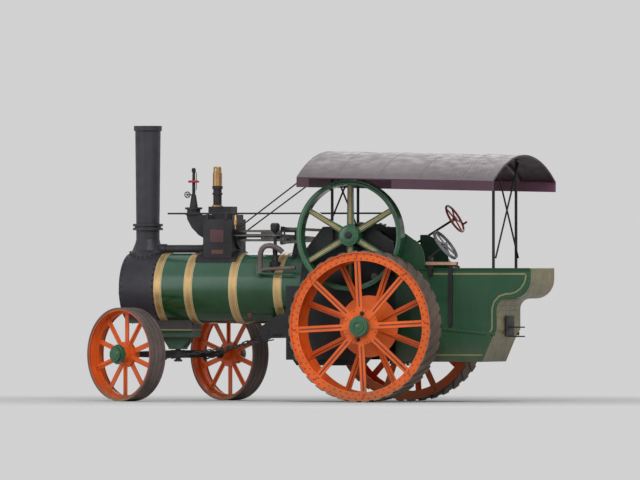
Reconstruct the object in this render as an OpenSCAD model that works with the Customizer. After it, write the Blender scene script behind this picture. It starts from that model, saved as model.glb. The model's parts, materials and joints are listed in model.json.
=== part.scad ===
// A traction engine with a single cylinder on top of the boiler, standing with its front axle turned.
// X runs forward, Y to the left and Z up. Places along X are given from the rear axle.

/* [Layout] */
// From the rear axle forward to the middle of the engine's length, where the origin is
origin_ahead = 867; // [860:1:874]
// From the rear axle to the pin that the front axle turns on
wheelbase = 2800; // [2780:1:2820]
// How far the front axle stands turned to the right
steer_rest = 26; // [20:0.5:30]
// Distance between the middles of the rear wheels
rear_track = 1720; // [1714:1:1730]
// Distance between the middles of the front wheels
front_track = 1780; // [1760:1:1800]
// Height of the middle of the drawbar jaw
hitch_z = 872; // [860:1:885]

/* [Rear wheels] */
// Radius over the rubber strakes
rear_r = 940; // [930:1:945]
// Width over the strakes
rear_w = 400; // [390:1:404]
// Height of the rubber strakes
strake_h = 16; // [12:1:20]
// Width of one strake, measured round the wheel
strake_w = 84; // [70:1:95]
// Slant of the strakes
strake_slant = 24; // [15:1:30]
// Number of strakes on a rear wheel
strake_count = 36; // [30:1:40]
// Thickness of the rolled rim
rear_rim_t = 13; // [10:1:16]
// Depth of the flat rings that the spokes are riveted to
rear_ring_h = 108; // [95:1:115]
// How far the flat rings stand in from the edge of the rim
rear_ring_inset = 22; // [15:1:30]
// Number of spokes on a rear wheel
rear_spokes = 16; // [12:2:20]
// Width of a rear spoke
rear_spoke_w = 76; // [60:1:86]
// Radius of the outer hub flange
rear_flange_r = 230; // [215:1:245]
// Radius of the inner hub flange
rear_inner_flange_r = 385; // [360:1:400]
// Radius of the rear hub
rear_hub_r = 118; // [110:1:124]
// How far the rear hub stands out from the wheel
rear_hub_out = 58; // [45:1:70]
// Radius of the rear axle
rear_axle_r = 62; // [58:1:66]

/* [Front wheels] */
// Radius over the rubber tyre
front_r = 585; // [575:1:590]
// Width of the tyre
front_w = 250; // [240:1:260]
// Thickness of the rubber tyre
front_tyre_t = 22; // [18:1:26]
// Number of spokes on a front wheel
front_spokes = 10; // [8:2:14]
// Width of a front spoke
front_spoke_w = 62; // [50:1:70]
// Radius of the front hub flanges
front_flange_r = 160; // [150:1:170]
// Radius of the front hub
front_hub_r = 84; // [78:1:88]
// Radius across the corners of the hub cap
front_cap_r = 124; // [115:1:130]
// How far the front hub stands out from the wheel
front_hub_out = 80; // [60:1:90]
// Radius of the front axle's ends
front_axle_r = 38; // [34:1:42]

/* [Boiler] */
// Radius of the barrel with its lagging
boiler_r = 440; // [434:1:442]
// Height of the barrel's centre line
boiler_z = 1410; // [1400:1:1420]
// Back plate of the firebox
firebox_back = 300; // [290:1:310]
// Front plate of the firebox
firebox_front = 1190; // [1180:1:1200]
// Underside of the firebox
firebox_bottom = 560; // [540:1:580]
// Front end of the barrel
barrel_front = 2930; // [2915:1:2945]
// Width of the brass bands round the barrel
band_w = 92; // [70:1:100]
// Thickness of the brass bands
band_t = 5; // [3:0.5:7]
// Radius of the firehole
firehole_r = 120; // [100:1:130]
// Height of the firehole
firehole_z = 1330; // [1310:1:1350]

/* [Smokebox and chimney] */
// Front of the smokebox
smokebox_front = 3430; // [3415:1:3440]
// Radius of the smokebox
smokebox_r = 440; // [434:1:442]
// Thickness of the smokebox shell
smokebox_t = 14; // [10:1:18]
// Radius of the door opening
door_hole_r = 296; // [280:1:305]
// Radius of the smokebox door
door_r = 335; // [325:1:345]
// How far the middle of the door is dished forward
door_dish = 58; // [45:1:70]
// Place of the chimney
chimney_x = 3205; // [3190:1:3215]
// Top of the chimney
chimney_top = 3450; // [3400:1:3480]
// Inner radius of the chimney
chimney_bore = 122; // [110:1:126]
// Radius of the chimney where it leaves its base
chimney_r = 147; // [142:1:152]
// Radius of the chimney under its rim
chimney_top_r = 160; // [152:1:165]
// Radius of the skirt of the chimney's base
skirt_r = 228; // [215:1:235]

/* [Cylinder and motion] */
// Height of the crankshaft and the piston rod
crank_z = 2070; // [2062:1:2078]
// Place of the crankshaft
crank_x = 290; // [282:1:298]
// Radius of the crankshaft
crank_r = 45; // [42:1:48]
// Throw of the crank
crank_throw = 130; // [120:1:132]
// Angle of the crank above the horizontal as it stands
crank_rest = -40; // [-48:1:-34]
// Length of the connecting rod between its eyes
con_rod = 1150; // [1140:1:1160]
// Throw of the eccentrics
eccentric_throw = 45; // [38:1:48]
// Radius of the eccentric sheaves
eccentric_r = 98; // [94:1:102]
// Angle from the crank to the forward eccentric
eccentric_lead = 118; // [110:1:125]
// Back of the cylinder casting
cylinder_back = 1980; // [1970:1:1990]
// Front of the cylinder casting
cylinder_front = 2360; // [2350:1:2370]
// Radius of the cylinder's end covers
cover_r = 172; // [160:1:176]
// Left face of the steam chest
chest_y = 280; // [270:1:290]
// Radius of the flywheel
flywheel_r = 690; // [680:1:695]
// Width of the flywheel's rim
flywheel_w = 150; // [140:1:152]
// Depth of the flywheel's rim
flywheel_rim = 60; // [50:1:70]
// Inner face of the flywheel's rim
flywheel_y = 500; // [498:1:502]

/* [Gearing] */
// Module of the gear teeth
tooth_module = 18; // [17:0.5:19]
// Teeth of the pinion on the crankshaft
crank_teeth = 16; // [15:1:17]
// Teeth of the wheel on the second shaft
second_teeth = 48; // [47:1:49]
// Teeth of the pinion on the second shaft
pinion_teeth = 15; // [14:1:16]
// Teeth of the final gear on the rear axle
final_teeth = 54; // [53:1:55]
// Radius of the second shaft
second_shaft_r = 42; // [38:1:44]

/* [Frame plates and tender] */
// Thickness of the hornplates
hornplate_t = 14; // [12:1:16]
// Back edge of the hornplates
hornplate_back = -260; // [-270:1:-250]
// Top of the tender
tender_top = 1650; // [1630:1:1665]
// Underside of the tender
tender_bottom = 500; // [480:1:520]
// Back of the tender at its top
tender_back = -2037; // [-2060:1:-2020]
// Back of the tank under the bunker
tank_back = -1590; // [-1600:1:-1580]
// Half the width of the tender
tender_half = 450; // [446:1:454]
// Thickness of the tender's plates
tender_t = 10; // [8:1:14]
// Height of the footplate
footplate_z = 1016; // [1010:1:1030]
// Height of the coal floor
coal_floor_z = 1300; // [1280:1:1330]
// Where the bunker's front board stands
bunker_x = -1080; // [-1100:1:-1060]

/* [Canopy] */
// Front of the canopy
canopy_front = 780; // [760:1:800]
// Back of the canopy
canopy_back = -1800; // [-1820:1:-1780]
// Half the width of the canopy
canopy_half = 1200; // [1180:1:1210]
// Underside of the side boards, at the middle of the canopy
canopy_z = 2652; // [2640:1:2665]
// Height of the side boards
valance_h = 125; // [110:1:135]
// Rise of the roof from its edge to its ridge
canopy_rise = 330; // [310:1:345]
// Thickness of the roof boards
canopy_t = 24; // [20:1:28]
// How far the canopy slopes down to the rear
canopy_slope = 1.2; // [0.5:0.1:1.6]
// Radius of the canopy's posts
post_r = 18; // [15:1:19]
// Place of the front posts
front_post_x = 570; // [560:1:585]
// Place of the rear posts
rear_post_x = -1540; // [-1560:1:-1520]

/* [Steering] */
// From the perch pin out to a chain's eye on the front axle
chain_eye_y = 400; // [390:1:410]
// Place of the chain barrel
barrel_x = 1450; // [1440:1:1460]
// Height of the chain barrel
barrel_z = 850; // [845:1:860]
// Radius of the chain barrel
barrel_r = 62; // [56:1:66]
// Thickness of the chains' bar
chain_t = 14; // [12:1:15]
// Pitch of the chains' links
chain_pitch = 74; // [68:1:80]
// Radius of the steering wheel
steering_wheel_r = 200; // [190:1:210]
// Radius of the brake wheel
brake_wheel_r = 215; // [205:1:220]

/* [Hidden] */
$fn = 96;
// Gap under a piece that is seated on a curved face
seat = 0.3;
// Gap round a shaft in its bearing
running = 0.6;
// Depth that pieces of one casting reach into each other
lap = 2;
// Gap between pieces that pass each other
side_gap = 8;

// Widths across the engine, from its middle
hornplate_y = boiler_r + seat;
hornplate_out = hornplate_y + hornplate_t;
rear_in = rear_track / 2 - rear_w / 2;
rear_out = rear_track / 2 + rear_w / 2;
front_in = front_track / 2 - front_w / 2;
flywheel_out = flywheel_y + flywheel_w;

// Rear wheel
rear_rim_r = rear_r - strake_h;
rear_ring_z = rear_w / 2 - rear_ring_inset;
rear_plate_t = 13;
rear_cap_t = 10;
rear_spoke_z = rear_ring_z - rear_plate_t;
rear_first_spoke = 3;

// Front wheel: the spokes lie on both faces of a rib in the middle of the rim
front_rim_t = 12;
front_rim_r = front_r - front_tyre_t - seat;
front_spoke_t = 14;
front_rib_half = 9;
front_first_spoke = 18;

// Brass bands: the front edge of each one
band_fronts = [barrel_front + band_w / 2 - 11, 2552, 1956, 1362];

// Crank and gearing. The second shaft stands where both gear pairs meet at their pitch circles.
crank_pin = [crank_x + crank_throw * cos(crank_rest), crank_z + crank_throw * sin(crank_rest)];
rod_slope = asin((crank_z - crank_pin.y) / con_rod);
crosshead_x = crank_pin.x + con_rod * cos(rod_slope);
final_distance = tooth_module * (final_teeth + pinion_teeth) / 2;
second_distance = tooth_module * (crank_teeth + second_teeth) / 2;
axle_to_crank = norm([crank_x, crank_z - rear_r]);
crank_bearing_angle = atan2(crank_z - rear_r, crank_x);
second_angle = crank_bearing_angle
    + acos((final_distance * final_distance + axle_to_crank * axle_to_crank
        - second_distance * second_distance) / (2 * final_distance * axle_to_crank));
second_x = final_distance * cos(second_angle);
second_z = rear_r + final_distance * sin(second_angle);
// The gears stand outside the lane of the steering shaft
shaft_lane = 44;
gear_start = hornplate_out + shaft_lane;
gear_lane = rear_in - 3 * side_gap - gear_start;
second_gear_w = 0.4 * gear_lane;
final_gear_w = gear_lane - second_gear_w - side_gap + 2;
second_gear_start = gear_start + final_gear_w + side_gap - 2;

// Eccentrics: the inner face of each one's sheave and its angle from the crank
eccentric_w = 36;
eccentrics = [[154, eccentric_lead], [216, -eccentric_lead]];
link_r = 1035;
link_y = 197;
link_t = 11;
link_half = 6.2;
link_pins = [4.9, -4.9];

// Cylinder casting: its top, its horn at the front and the exhaust pipe along the barrel
top_z = 2275;
cover_z = top_z + 160;
horn_x = cylinder_front + 230;
horn_z = top_z + 55;
exhaust_r = 50;
exhaust_z = boiler_z + boiler_r + band_t + exhaust_r + 2 * seat;
exhaust_start = cylinder_front + 100;
regulator_rod_z = top_z + 72;
regulator_rod_r = 11;

// Slide bars: their inner face, width and height off the piston rod
bar_y = 72;
bar_w = 46;
bar_h = 30;
bar_off = 42;
slide_back = 1160;

// Canopy: the radius of the roof's arch, and the posts outside the frame plates
roof_r = (canopy_half * canopy_half + canopy_rise * canopy_rise) / (2 * canopy_rise);
post_y = hornplate_out + 2 + post_r;
rear_post_y = tender_half - post_r - 4;
// The left side board is cut away before the flywheel, from and to along X, up to a strip at the eaves
board_cut = [crank_x - flywheel_r - 70, crank_x + flywheel_r - 360];
board_strip = 14;
stay_r = 11;
function roof_under(x, y) = canopy_z + valance_h + canopy_rise - roof_r
    + sqrt(pow(roof_r - canopy_t, 2) - y * y) + x * tan(canopy_slope);

// Steering: the shaft runs straight from the wheel down to the worm on the chain barrel
steering_y = hornplate_out + shaft_lane / 2;
steering_shaft_r = 14;
worm_gear_r = 92;
worm_r = 20;
steering_wheel_at = [-715, -steering_y, 2280];
worm_gap = worm_gear_r + worm_r + running;
wheel_to_barrel = norm([barrel_x - steering_wheel_at.x, steering_wheel_at.z - barrel_z]);
steering_dive = atan2(steering_wheel_at.z - barrel_z, barrel_x - steering_wheel_at.x)
    - asin(worm_gap / wheel_to_barrel);
steering_reach = sqrt(wheel_to_barrel * wheel_to_barrel - worm_gap * worm_gap);
barrel_shaft_r = 32;
perch_pin_r = 34;
axle_beam_h = 96;
chain_eye_z = front_r - 62;
chain_eye_reach = 34;
chain_start_y = 260;

// Chimney: the foot of its base and its lower collar
chimney_foot_z = boiler_z + smokebox_r - 66;
collar_z = 2140;

// The smokebox door's hinge stands at its right edge
hinge_y = -door_r - 34;
hinge_x = smokebox_front + 30;
hinge_r = 20;
hinge_pin_r = 9;
hinge_lug_z = 150;
hinge_h = 34;

// The firehole door hangs from a pin at its right
fire_hinge_y = -firehole_r - 50;
fire_hinge_x = firebox_back - 24;

// The brake's wheel, its lean and the board under it
hand_hub_h = 44;
brake_wheel_at = [-930, tender_half + 40, 1950];
brake_lean = 52;
brake_board_z = tender_top + 54;

// The drawbar jaw
hitch_reach = 215;
hitch_gap = 99;
hitch_plate_t = 16;
hitch_pin_r = 20;

// Puts what is drawn from the rear axle into the frame of the whole engine
module chassis() translate([-origin_ahead, 0, 0]) children();

// Bars along X and Y, and outlines given a thickness along X and Y
module along_x(x0, x1, r) translate([x0, 0, 0]) rotate([0, 90, 0]) cylinder(h = x1 - x0, r = r);
module along_y(y0, y1, r) translate([0, y0, 0]) rotate([-90, 0, 0]) cylinder(h = y1 - y0, r = r);
module profile_x(x0, x1) translate([x0, 0, 0]) rotate([90, 0, 90]) linear_extrude(x1 - x0) children();
module profile_y(y0, y1) translate([0, y1, 0]) rotate([90, 0, 0]) linear_extrude(y1 - y0) children();
module both_sides() {
    children();
    mirror([0, 1, 0]) children();
}

// A round bar between two points
module bar(a, b, r) {
    way = b - a;
    translate(a) rotate([0, acos(way.z / norm(way)), atan2(way.y, way.x)])
        cylinder(h = norm(way), r = r);
}

// A ring about Z
module ring(r_in, r_out, z0, z1) translate([0, 0, z0]) difference() {
    cylinder(h = z1 - z0, r = r_out);
    translate([0, 0, -1]) cylinder(h = z1 - z0 + 2, r = r_in);
}

// The boiler's shell, and what is cut from pieces that sit on it
module shell_cut(x0, x1, gap = seat) translate([0, 0, boiler_z]) along_x(x0, x1, boiler_r + gap);

module bands_cut() for (front = band_fronts)
    translate([front - band_w - lap, 0, boiler_z]) along_x(0, band_w + 2 * lap, boiler_r + band_t + 2 * seat);

module boiler() color("#1f4029") chassis() difference() {
    inset = 8;
    union() {
        shell_cut(firebox_back, barrel_front, 0);
        translate([firebox_back, -boiler_r + inset, firebox_bottom])
            cube([firebox_front - firebox_back, 2 * (boiler_r - inset), boiler_z - firebox_bottom]);
    }
    translate([0, 0, firehole_z]) along_x(firebox_back - 1, firebox_back + 150, firehole_r);
}

module boiler_bands() color("#c79a5a") chassis() {
    for (front = band_fronts)
        translate([front - band_w, 0, boiler_z]) rotate([0, 90, 0])
            ring(boiler_r + seat, boiler_r + seat + band_t, 0, band_w);
}

// Outline of a hornplate in X and Z
module hornplate_outline() difference() {
    union() {
        polygon([[firebox_front, firebox_bottom - 40], [firebox_front, barrel_z - 15],
            [barrel_x + 80, barrel_z - 15], [barrel_x + 80, barrel_z + 80], [firebox_front + 100, barrel_z + 240],
            [firebox_front, barrel_z + 240], [firebox_front, boiler_z + 30], [1010, boiler_z + 30],
            [960, 1860], [700, 2180], [60, 2180], [-230, 1990], [hornplate_back, tender_top],
            [hornplate_back, 760], [-120, 640], [260, firebox_bottom - 40]]);
        translate([crank_x, crank_z]) circle(r = 150);
        translate([barrel_x, barrel_z]) circle(r = 84);
    }
    translate([barrel_x, barrel_z]) circle(r = barrel_shaft_r + running);
    for (hole = [[0, rear_r, rear_axle_r], [crank_x, crank_z, crank_r],
            [second_x, second_z, second_shaft_r]])
        translate([hole[0], hole[1]]) circle(r = hole[2] + 20);
}

// A bearing in a hornplate, with its flange outside
module bearing(x, z, r, boss_r, reach) translate([x, 0, z]) difference() {
    union() {
        along_y(hornplate_y - reach, hornplate_y + lap, boss_r * 0.8);
        along_y(hornplate_y, hornplate_out + 6, boss_r);
    }
    along_y(hornplate_y - reach - 1, hornplate_out + 7, r + running);
}

module hornplates() color("#2c2e30") chassis() both_sides() union() {
    profile_y(hornplate_y, hornplate_out) hornplate_outline();
    bearing(crank_x, crank_z, crank_r, 92, 46);
    bearing(second_x, second_z, second_shaft_r, 84, 40);
    bearing(0, rear_r, rear_axle_r, 118, 40);
}

module ashpan() color("#26282a") chassis() {
    pan_h = 110;
    profile_y(-boiler_r + 40, boiler_r - 40)
        polygon([[firebox_back + 40, firebox_bottom], [firebox_front - 40, firebox_bottom],
            [firebox_front - 120, firebox_bottom - pan_h], [firebox_back + 140, firebox_bottom - pan_h]]);
}

module smokebox() color("#38363b") chassis() difference() {
    union() {
        translate([barrel_front, 0, boiler_z]) rotate([0, 90, 0])
            ring(smokebox_r - smokebox_t, smokebox_r, 0, smokebox_front - barrel_front);
        translate([smokebox_front - smokebox_t, 0, boiler_z]) rotate([0, 90, 0])
            ring(door_hole_r, smokebox_r - lap, 0, smokebox_t);
        for (up = [-1, 1]) hinge_lug(up * hinge_lug_z);
    }
    translate([chimney_x, 0, boiler_z]) cylinder(h = smokebox_r + 10, r = chimney_bore);
}

module hinge_lug(z) difference() {
    union() {
        translate([smokebox_front - lap, hinge_y - hinge_r, boiler_z + z - hinge_h / 2])
            cube([hinge_x - smokebox_front + lap, 2 * hinge_r, hinge_h]);
        translate([hinge_x, hinge_y, boiler_z + z - hinge_h / 2]) cylinder(h = hinge_h, r = hinge_r);
    }
    translate([hinge_x, hinge_y, boiler_z + z - hinge_h]) cylinder(h = 2 * hinge_h, r = hinge_pin_r);
}

module smokebox_door() color("#333135") chassis() {
    dish_r = (door_r * door_r + door_dish * door_dish) / (2 * door_dish);
    plate_t = 12;
    rim_r = door_r - 32;
    centre = [0, plate_t + door_dish - dish_r];
    translate([smokebox_front + seat, 0, boiler_z]) rotate([0, 90, 0]) union() {
        // The dished plate, with its flat rim
        rotate_extrude() polygon(concat(arc(centre, dish_r, 90, acos(door_r / dish_r), 6),
            [[door_r, 0], [rim_r, 0]], arc(centre, dish_r - plate_t, acos(rim_r / (dish_r - plate_t)), 90, 6)));
        cylinder(h = door_dish + plate_t + 54, r = 20);
        // The two handles: the turn of each one and its place along the spindle
        for (handle = [[20, 18], [65, 36]]) rotate([0, 0, handle[0]])
            translate([0, -10, door_dish + plate_t + handle[1]]) cube([150, 20, 12]);
    }
    // Straps out to the hinge, between the lugs
    for (up = [-1, 1]) translate([0, hinge_y, boiler_z + up * (hinge_lug_z - hinge_h - 1) - hinge_h / 2]) {
        translate([hinge_x, 0, 0]) cylinder(h = hinge_h, r = hinge_r);
        translate([smokebox_front + 6, 0, 0]) cube([hinge_x - smokebox_front, 130, hinge_h]);
    }
    for (up = [-1, 1]) translate([hinge_x, hinge_y, boiler_z + up * (hinge_lug_z - hinge_h / 2) - hinge_h])
        cylinder(h = 2 * hinge_h, r = hinge_pin_r - running);
}

// The chimney's base has the smokebox's curve under it, and a boss for the exhaust pipe
module chimney_base() color("#39373c") chassis() difference() {
    union() {
        translate([0, 0, exhaust_z]) along_x(chimney_x - skirt_r - 22, chimney_x, exhaust_r + 12);
        translate([chimney_x, 0, chimney_foot_z]) rotate_extrude() polygon([[0, 0], [skirt_r, 0], [skirt_r, 74],
            [skirt_r - 34, 104], [chimney_r + 12, 190], [chimney_r, 240], [chimney_r, collar_z - chimney_foot_z],
            [chimney_r + 42, collar_z - chimney_foot_z], [chimney_r + 42, collar_z + 30 - chimney_foot_z],
            [0, collar_z + 30 - chimney_foot_z]]);
    }
    translate([chimney_x, 0, boiler_z]) cylinder(h = chimney_top, r = chimney_bore);
    translate([0, 0, boiler_z]) along_x(chimney_x - 400, chimney_x + 400, smokebox_r + seat);
    bands_cut();
}

module chimney() color("#39373c") chassis() translate([chimney_x, 0, 0]) rotate_extrude() polygon([
    [chimney_bore, collar_z + 30], [chimney_r + 20, collar_z + 30], [chimney_r + 20, collar_z + 48],
    [chimney_r + 42, collar_z + 52], [chimney_r + 42, collar_z + 80], [chimney_r, collar_z + 80],
    [chimney_top_r, chimney_top - 70], [chimney_top_r + 16, chimney_top - 58],
    [chimney_top_r + 16, chimney_top], [chimney_bore, chimney_top]]);

// The bracket under the barrel that carries the front axle's pin
module perch_bracket() color("#2d3632") chassis() {
    saddle_half = 190;
    foot_r = 120;
    foot_z = front_r + axle_beam_h / 2 + 14;
    difference() {
        union() {
            translate([wheelbase - 250, -saddle_half, foot_z + 150]) cube([470, 2 * saddle_half, 240]);
            profile_y(-90, 90) polygon([[wheelbase - 200, foot_z + 160], [wheelbase + 190, foot_z + 160],
                [wheelbase + 90, foot_z + 10], [wheelbase - 90, foot_z + 10]]);
            translate([wheelbase, 0, foot_z]) cylinder(h = 60, r = foot_r);
            translate([wheelbase, 0, foot_z - axle_beam_h - 60]) cylinder(h = axle_beam_h + 70, r = perch_pin_r);
            translate([wheelbase, 0, foot_z - axle_beam_h - 60]) cylinder(h = 26, r = perch_pin_r + 18);
        }
        shell_cut(wheelbase - 300, barrel_front);
        bands_cut();
        translate([0, 0, boiler_z]) along_x(barrel_front - 1, smokebox_front, smokebox_r + seat);
        for (side = [-1, 1]) translate([wheelbase - 260, side * (saddle_half + 40) - 75, foot_z + 100])
            cube([500, 150, 130]);
    }
}

// The front axle and its wheels stand turned about the perch pin
module steered() chassis() translate([wheelbase, 0, front_r]) rotate([0, 0, -steer_rest]) children();

module front_axle() color("#2f3330") steered() difference() {
    beam_half = front_in - 50;
    union() {
        profile_x(-50, 50) polygon([[-beam_half, -34], [-210, -axle_beam_h / 2], [210, -axle_beam_h / 2],
            [beam_half, -34], [beam_half, 34], [210, axle_beam_h / 2], [-210, axle_beam_h / 2],
            [-beam_half, 34]]);
        translate([0, 0, -axle_beam_h / 2]) cylinder(h = axle_beam_h + 4, r = 92);
        both_sides() {
            along_y(beam_half - 20, front_track / 2 + front_w / 2 + front_hub_out - 20, front_axle_r);
            along_y(beam_half - 4, beam_half + 16, front_axle_r + 22);
            // Eye for the chain, behind the beam
            translate([-50 - chain_eye_reach, chain_eye_y - 10, chain_eye_z - front_r - 20])
                cube([chain_eye_reach + lap, 20, 72]);
        }
    }
    translate([0, 0, -200]) cylinder(h = 400, r = perch_pin_r + running);
    both_sides() translate([-50 - chain_eye_reach + 18, 0, chain_eye_z - front_r])
        along_y(chain_eye_y - 30, chain_eye_y + 30, 10);
}

// A wheel stands on its axle with its own Z outward
module front_place(side) steered() {
    if (side > 0) translate([0, front_track / 2, 0]) rotate([-90, 0, 0]) children();
    else mirror([0, 1, 0]) translate([0, front_track / 2, 0]) rotate([-90, 0, 0]) children();
}
module rear_place(side) chassis() translate([0, 0, rear_r]) {
    if (side > 0) translate([0, rear_track / 2, 0]) rotate([-90, 0, 0]) children();
    else mirror([0, 1, 0]) translate([0, rear_track / 2, 0]) rotate([-90, 0, 0]) children();
}

// A spoke: the flat bar and its rib
module spoke(turn, r0, r1, w, z0, t, rib_h) rotate([0, 0, turn]) {
    translate([r0, -w / 2, z0]) cube([r1 - r0, w, t]);
    translate([r0, -t / 2, rib_h > 0 ? z0 : z0 + rib_h]) cube([r1 - r0 - 0.7 * w, t, abs(rib_h) + t]);
}

module front_wheel() color("#e8602a") union() {
    ring(front_rim_r - front_rim_t, front_rim_r, -front_w / 2 + 6, front_w / 2 - 6);
    ring(front_rim_r - 52, front_rim_r - front_rim_t + lap, -front_rib_half, front_rib_half);
    ring(front_hub_r + seat, front_flange_r, -front_rib_half - front_spoke_t - 4,
        front_rib_half + front_spoke_t + 4);
    ring(front_hub_r + seat, front_hub_r + 20, front_rib_half, front_w / 2 - 9);
    for (i = [0:front_spokes - 1]) let (face = i % 2 == 0 ? 1 : -1)
        spoke(i * 360 / front_spokes + front_first_spoke, front_flange_r - 30, front_rim_r - 18, front_spoke_w,
            face > 0 ? front_rib_half - 1 : 1 - front_rib_half - front_spoke_t, front_spoke_t, face * 16);
}
module front_tyre() color("#6a5a52") difference() {
    groove_w = 10;
    ring(front_rim_r + seat, front_r, -front_w / 2, front_w / 2);
    for (across = [-70, 0, 70]) ring(front_r - 6, front_r + 5, across - groove_w / 2, across + groove_w / 2);
}
module front_hub() color("#2c6238") difference() {
    cap_z = front_w / 2 - 8;
    union() {
        translate([0, 0, -front_w / 2 - 26]) cylinder(h = front_w + 30, r = front_hub_r);
        translate([0, 0, cap_z]) cylinder(h = 52, r = front_cap_r, $fn = 8);
        translate([0, 0, cap_z + 50]) cylinder(h = front_hub_out - 44, r = front_hub_r + 6);
    }
    translate([0, 0, -front_w / 2 - 30]) cylinder(h = front_w + front_hub_out + 18, r = front_axle_r + running);
}
module front_wheel_left() front_place(1) front_wheel();
module front_wheel_right() front_place(-1) front_wheel();
module front_tyre_left() front_place(1) front_tyre();
module front_tyre_right() front_place(-1) front_tyre();
module front_hub_left() front_place(1) front_hub();
module front_hub_right() front_place(-1) front_hub();

module rear_axle() color("#3b3d3f") chassis() translate([0, 0, rear_r])
    along_y(-rear_out - rear_hub_out + rear_cap_t + 14, rear_out + rear_hub_out - rear_cap_t - 14, rear_axle_r);

module final_gear() color("#56585a") chassis() translate([0, 0, rear_r])
    profile_y(-gear_start - final_gear_w, -gear_start) difference() {
        pitch_r = tooth_module * final_teeth / 2;
        gear_outline(final_teeth, second_angle);
        circle(r = rear_axle_r + seat);
        for (i = [0:5]) rotate(i * 60) translate([0.56 * pitch_r, 0]) circle(r = 0.2 * pitch_r);
    }

module rear_wheel() color("#e8602a") {
    ring(rear_rim_r - rear_rim_t, rear_rim_r, -rear_w / 2 + 4, rear_w / 2 - 4);
    ring(rear_rim_r - rear_ring_h, rear_rim_r - rear_rim_t + lap, rear_ring_z - rear_plate_t, rear_ring_z);
    ring(rear_rim_r - rear_ring_h, rear_rim_r - rear_rim_t + lap, -rear_ring_z, -rear_ring_z + rear_plate_t);
    ring(rear_hub_r + seat, rear_flange_r, rear_spoke_z - rear_plate_t - 4, rear_spoke_z - rear_plate_t + lap);
    ring(rear_hub_r + seat, rear_inner_flange_r, -rear_spoke_z + rear_plate_t - lap,
        -rear_spoke_z + rear_plate_t + 4);
    for (i = [0:rear_spokes - 1]) let (face = i % 2 == 0 ? 1 : -1)
        spoke(i * 360 / rear_spokes + rear_first_spoke,
            face > 0 ? rear_hub_r + 14 : rear_hub_r + 60, rear_rim_r - rear_ring_h + 78, rear_spoke_w,
            face > 0 ? rear_spoke_z - rear_plate_t : -rear_spoke_z, rear_plate_t, -face * 26);
}

// The strakes are bars of rubber laid at a slant across the rim
module rear_tyre() color("#73605a") intersection() {
    ring(rear_rim_r + seat, rear_r, -rear_w / 2, rear_w / 2);
    for (i = [0:strake_count - 1]) rotate([0, 0, i * 360 / strake_count])
        translate([rear_r - strake_h / 2, 0, 0]) rotate([strake_slant, 0, 0])
            cube([4 * strake_h, strake_w, 1.5 * rear_w], center = true);
}
// The hub is closed by a cap over the axle's end, with a raised ring on it
module rear_hub() color("#2c6238") difference() {
    face = rear_w / 2 + rear_hub_out;
    union() {
        translate([0, 0, -rear_w / 2 + 10]) cylinder(h = face + rear_w / 2 - 18, r = rear_hub_r);
        translate([0, 0, face - 9]) ring(58, 74, 0, 17);
    }
    translate([0, 0, -rear_w]) cylinder(h = face + rear_w - rear_cap_t - 8, r = rear_axle_r + running);
}
module rear_wheel_left() rear_place(1) rear_wheel();
module rear_wheel_right() rear_place(-1) rear_wheel();
module rear_tyre_left() rear_place(1) rear_tyre();
module rear_tyre_right() rear_place(-1) rear_tyre();
module rear_hub_left() rear_place(1) rear_hub();
module rear_hub_right() rear_place(-1) rear_hub();

// The cylinder casting sits on the barrel, with the steam chest on its left
module cylinder_block() color("#2b2c2f") chassis() {
    flange_half = 300;
    rod_r = 24;
    difference() {
        union() {
            translate([cylinder_back, -230, boiler_z + 200])
                cube([cylinder_front - cylinder_back, chest_y + 230, top_z - boiler_z - 200]);
            translate([cylinder_back - 60, -flange_half, boiler_z + 280])
                intersection() {
                    cube([cylinder_front - cylinder_back + 155, 2 * flange_half, 240]);
                    translate([0, flange_half, -280]) along_x(-1, 700, boiler_r + 34);
                }
            translate([0, 0, crank_z]) along_x(cylinder_back - 30, cylinder_front + 34, cover_r);
            translate([0, 0, crank_z]) along_x(cylinder_back - 84, cylinder_back, 52);
            // The stepped cover on top
            for (step = [[20, 350, 0, 60, 200], [60, 330, 58, 80, 100], [70, 372, 78, 162, 112]])
                translate([cylinder_back + step[0], -step[4], top_z - lap + step[2]])
                    cube([step[1] - step[0], 2 * step[4], step[3] - step[2]]);
            // The horn that leans forward from the front, with its flanges
            profile_y(-72, 72) polygon([[cylinder_front - lap, horn_z - 270], [cylinder_front - lap, horn_z + lap],
                [horn_x + 70, horn_z + lap], [horn_x + 58, horn_z - 60], [horn_x, horn_z - 160],
                [horn_x - 90, horn_z - 250], [horn_x - 150, horn_z - 285]]);
            for (flange = [[0, 24, 108], [22, 72, 84], [70, 96, 108]])
                translate([horn_x, 0, horn_z + flange[0]]) cylinder(h = flange[1] - flange[0], r = flange[2]);
            translate([0, 0, exhaust_z]) along_x(cylinder_front - lap, exhaust_start, exhaust_r + 14);
        }
        shell_cut(cylinder_back - 300, cylinder_front + 300);
        bands_cut();
        translate([0, 0, crank_z]) along_x(cylinder_back - 100, cylinder_back + 20, rod_r + running);
        translate([0, link_y + link_t / 2, crank_z]) along_x(cylinder_back - 100, cylinder_back + 20, 15);
    }
}

module exhaust_pipe() color("#333338") chassis() translate([0, 0, exhaust_z])
    along_x(exhaust_start, chimney_x - skirt_r - 22, exhaust_r);

module safety_valve() color("#b08d57") chassis() translate([cylinder_back + 292, 0, cover_z])
    rotate_extrude() polygon([[0, 0], [68, 0], [68, 16], [44, 24], [44, 142], [62, 150], [62, 172], [50, 178],
        [50, 216], [64, 222], [64, 258], [58, 264], [58, 428], [50, 434], [50, 488], [44, 500], [0, 500]]);

module lubricator() color("#3a2b2b") chassis() translate([horn_x, 0, horn_z + 96])
    rotate_extrude() polygon([[0, 0], [52, 0], [50, 20], [30, 150], [20, 165], [20, 300], [17, 440], [26, 448],
        [26, 476], [18, 494], [0, 494]]);

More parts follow.
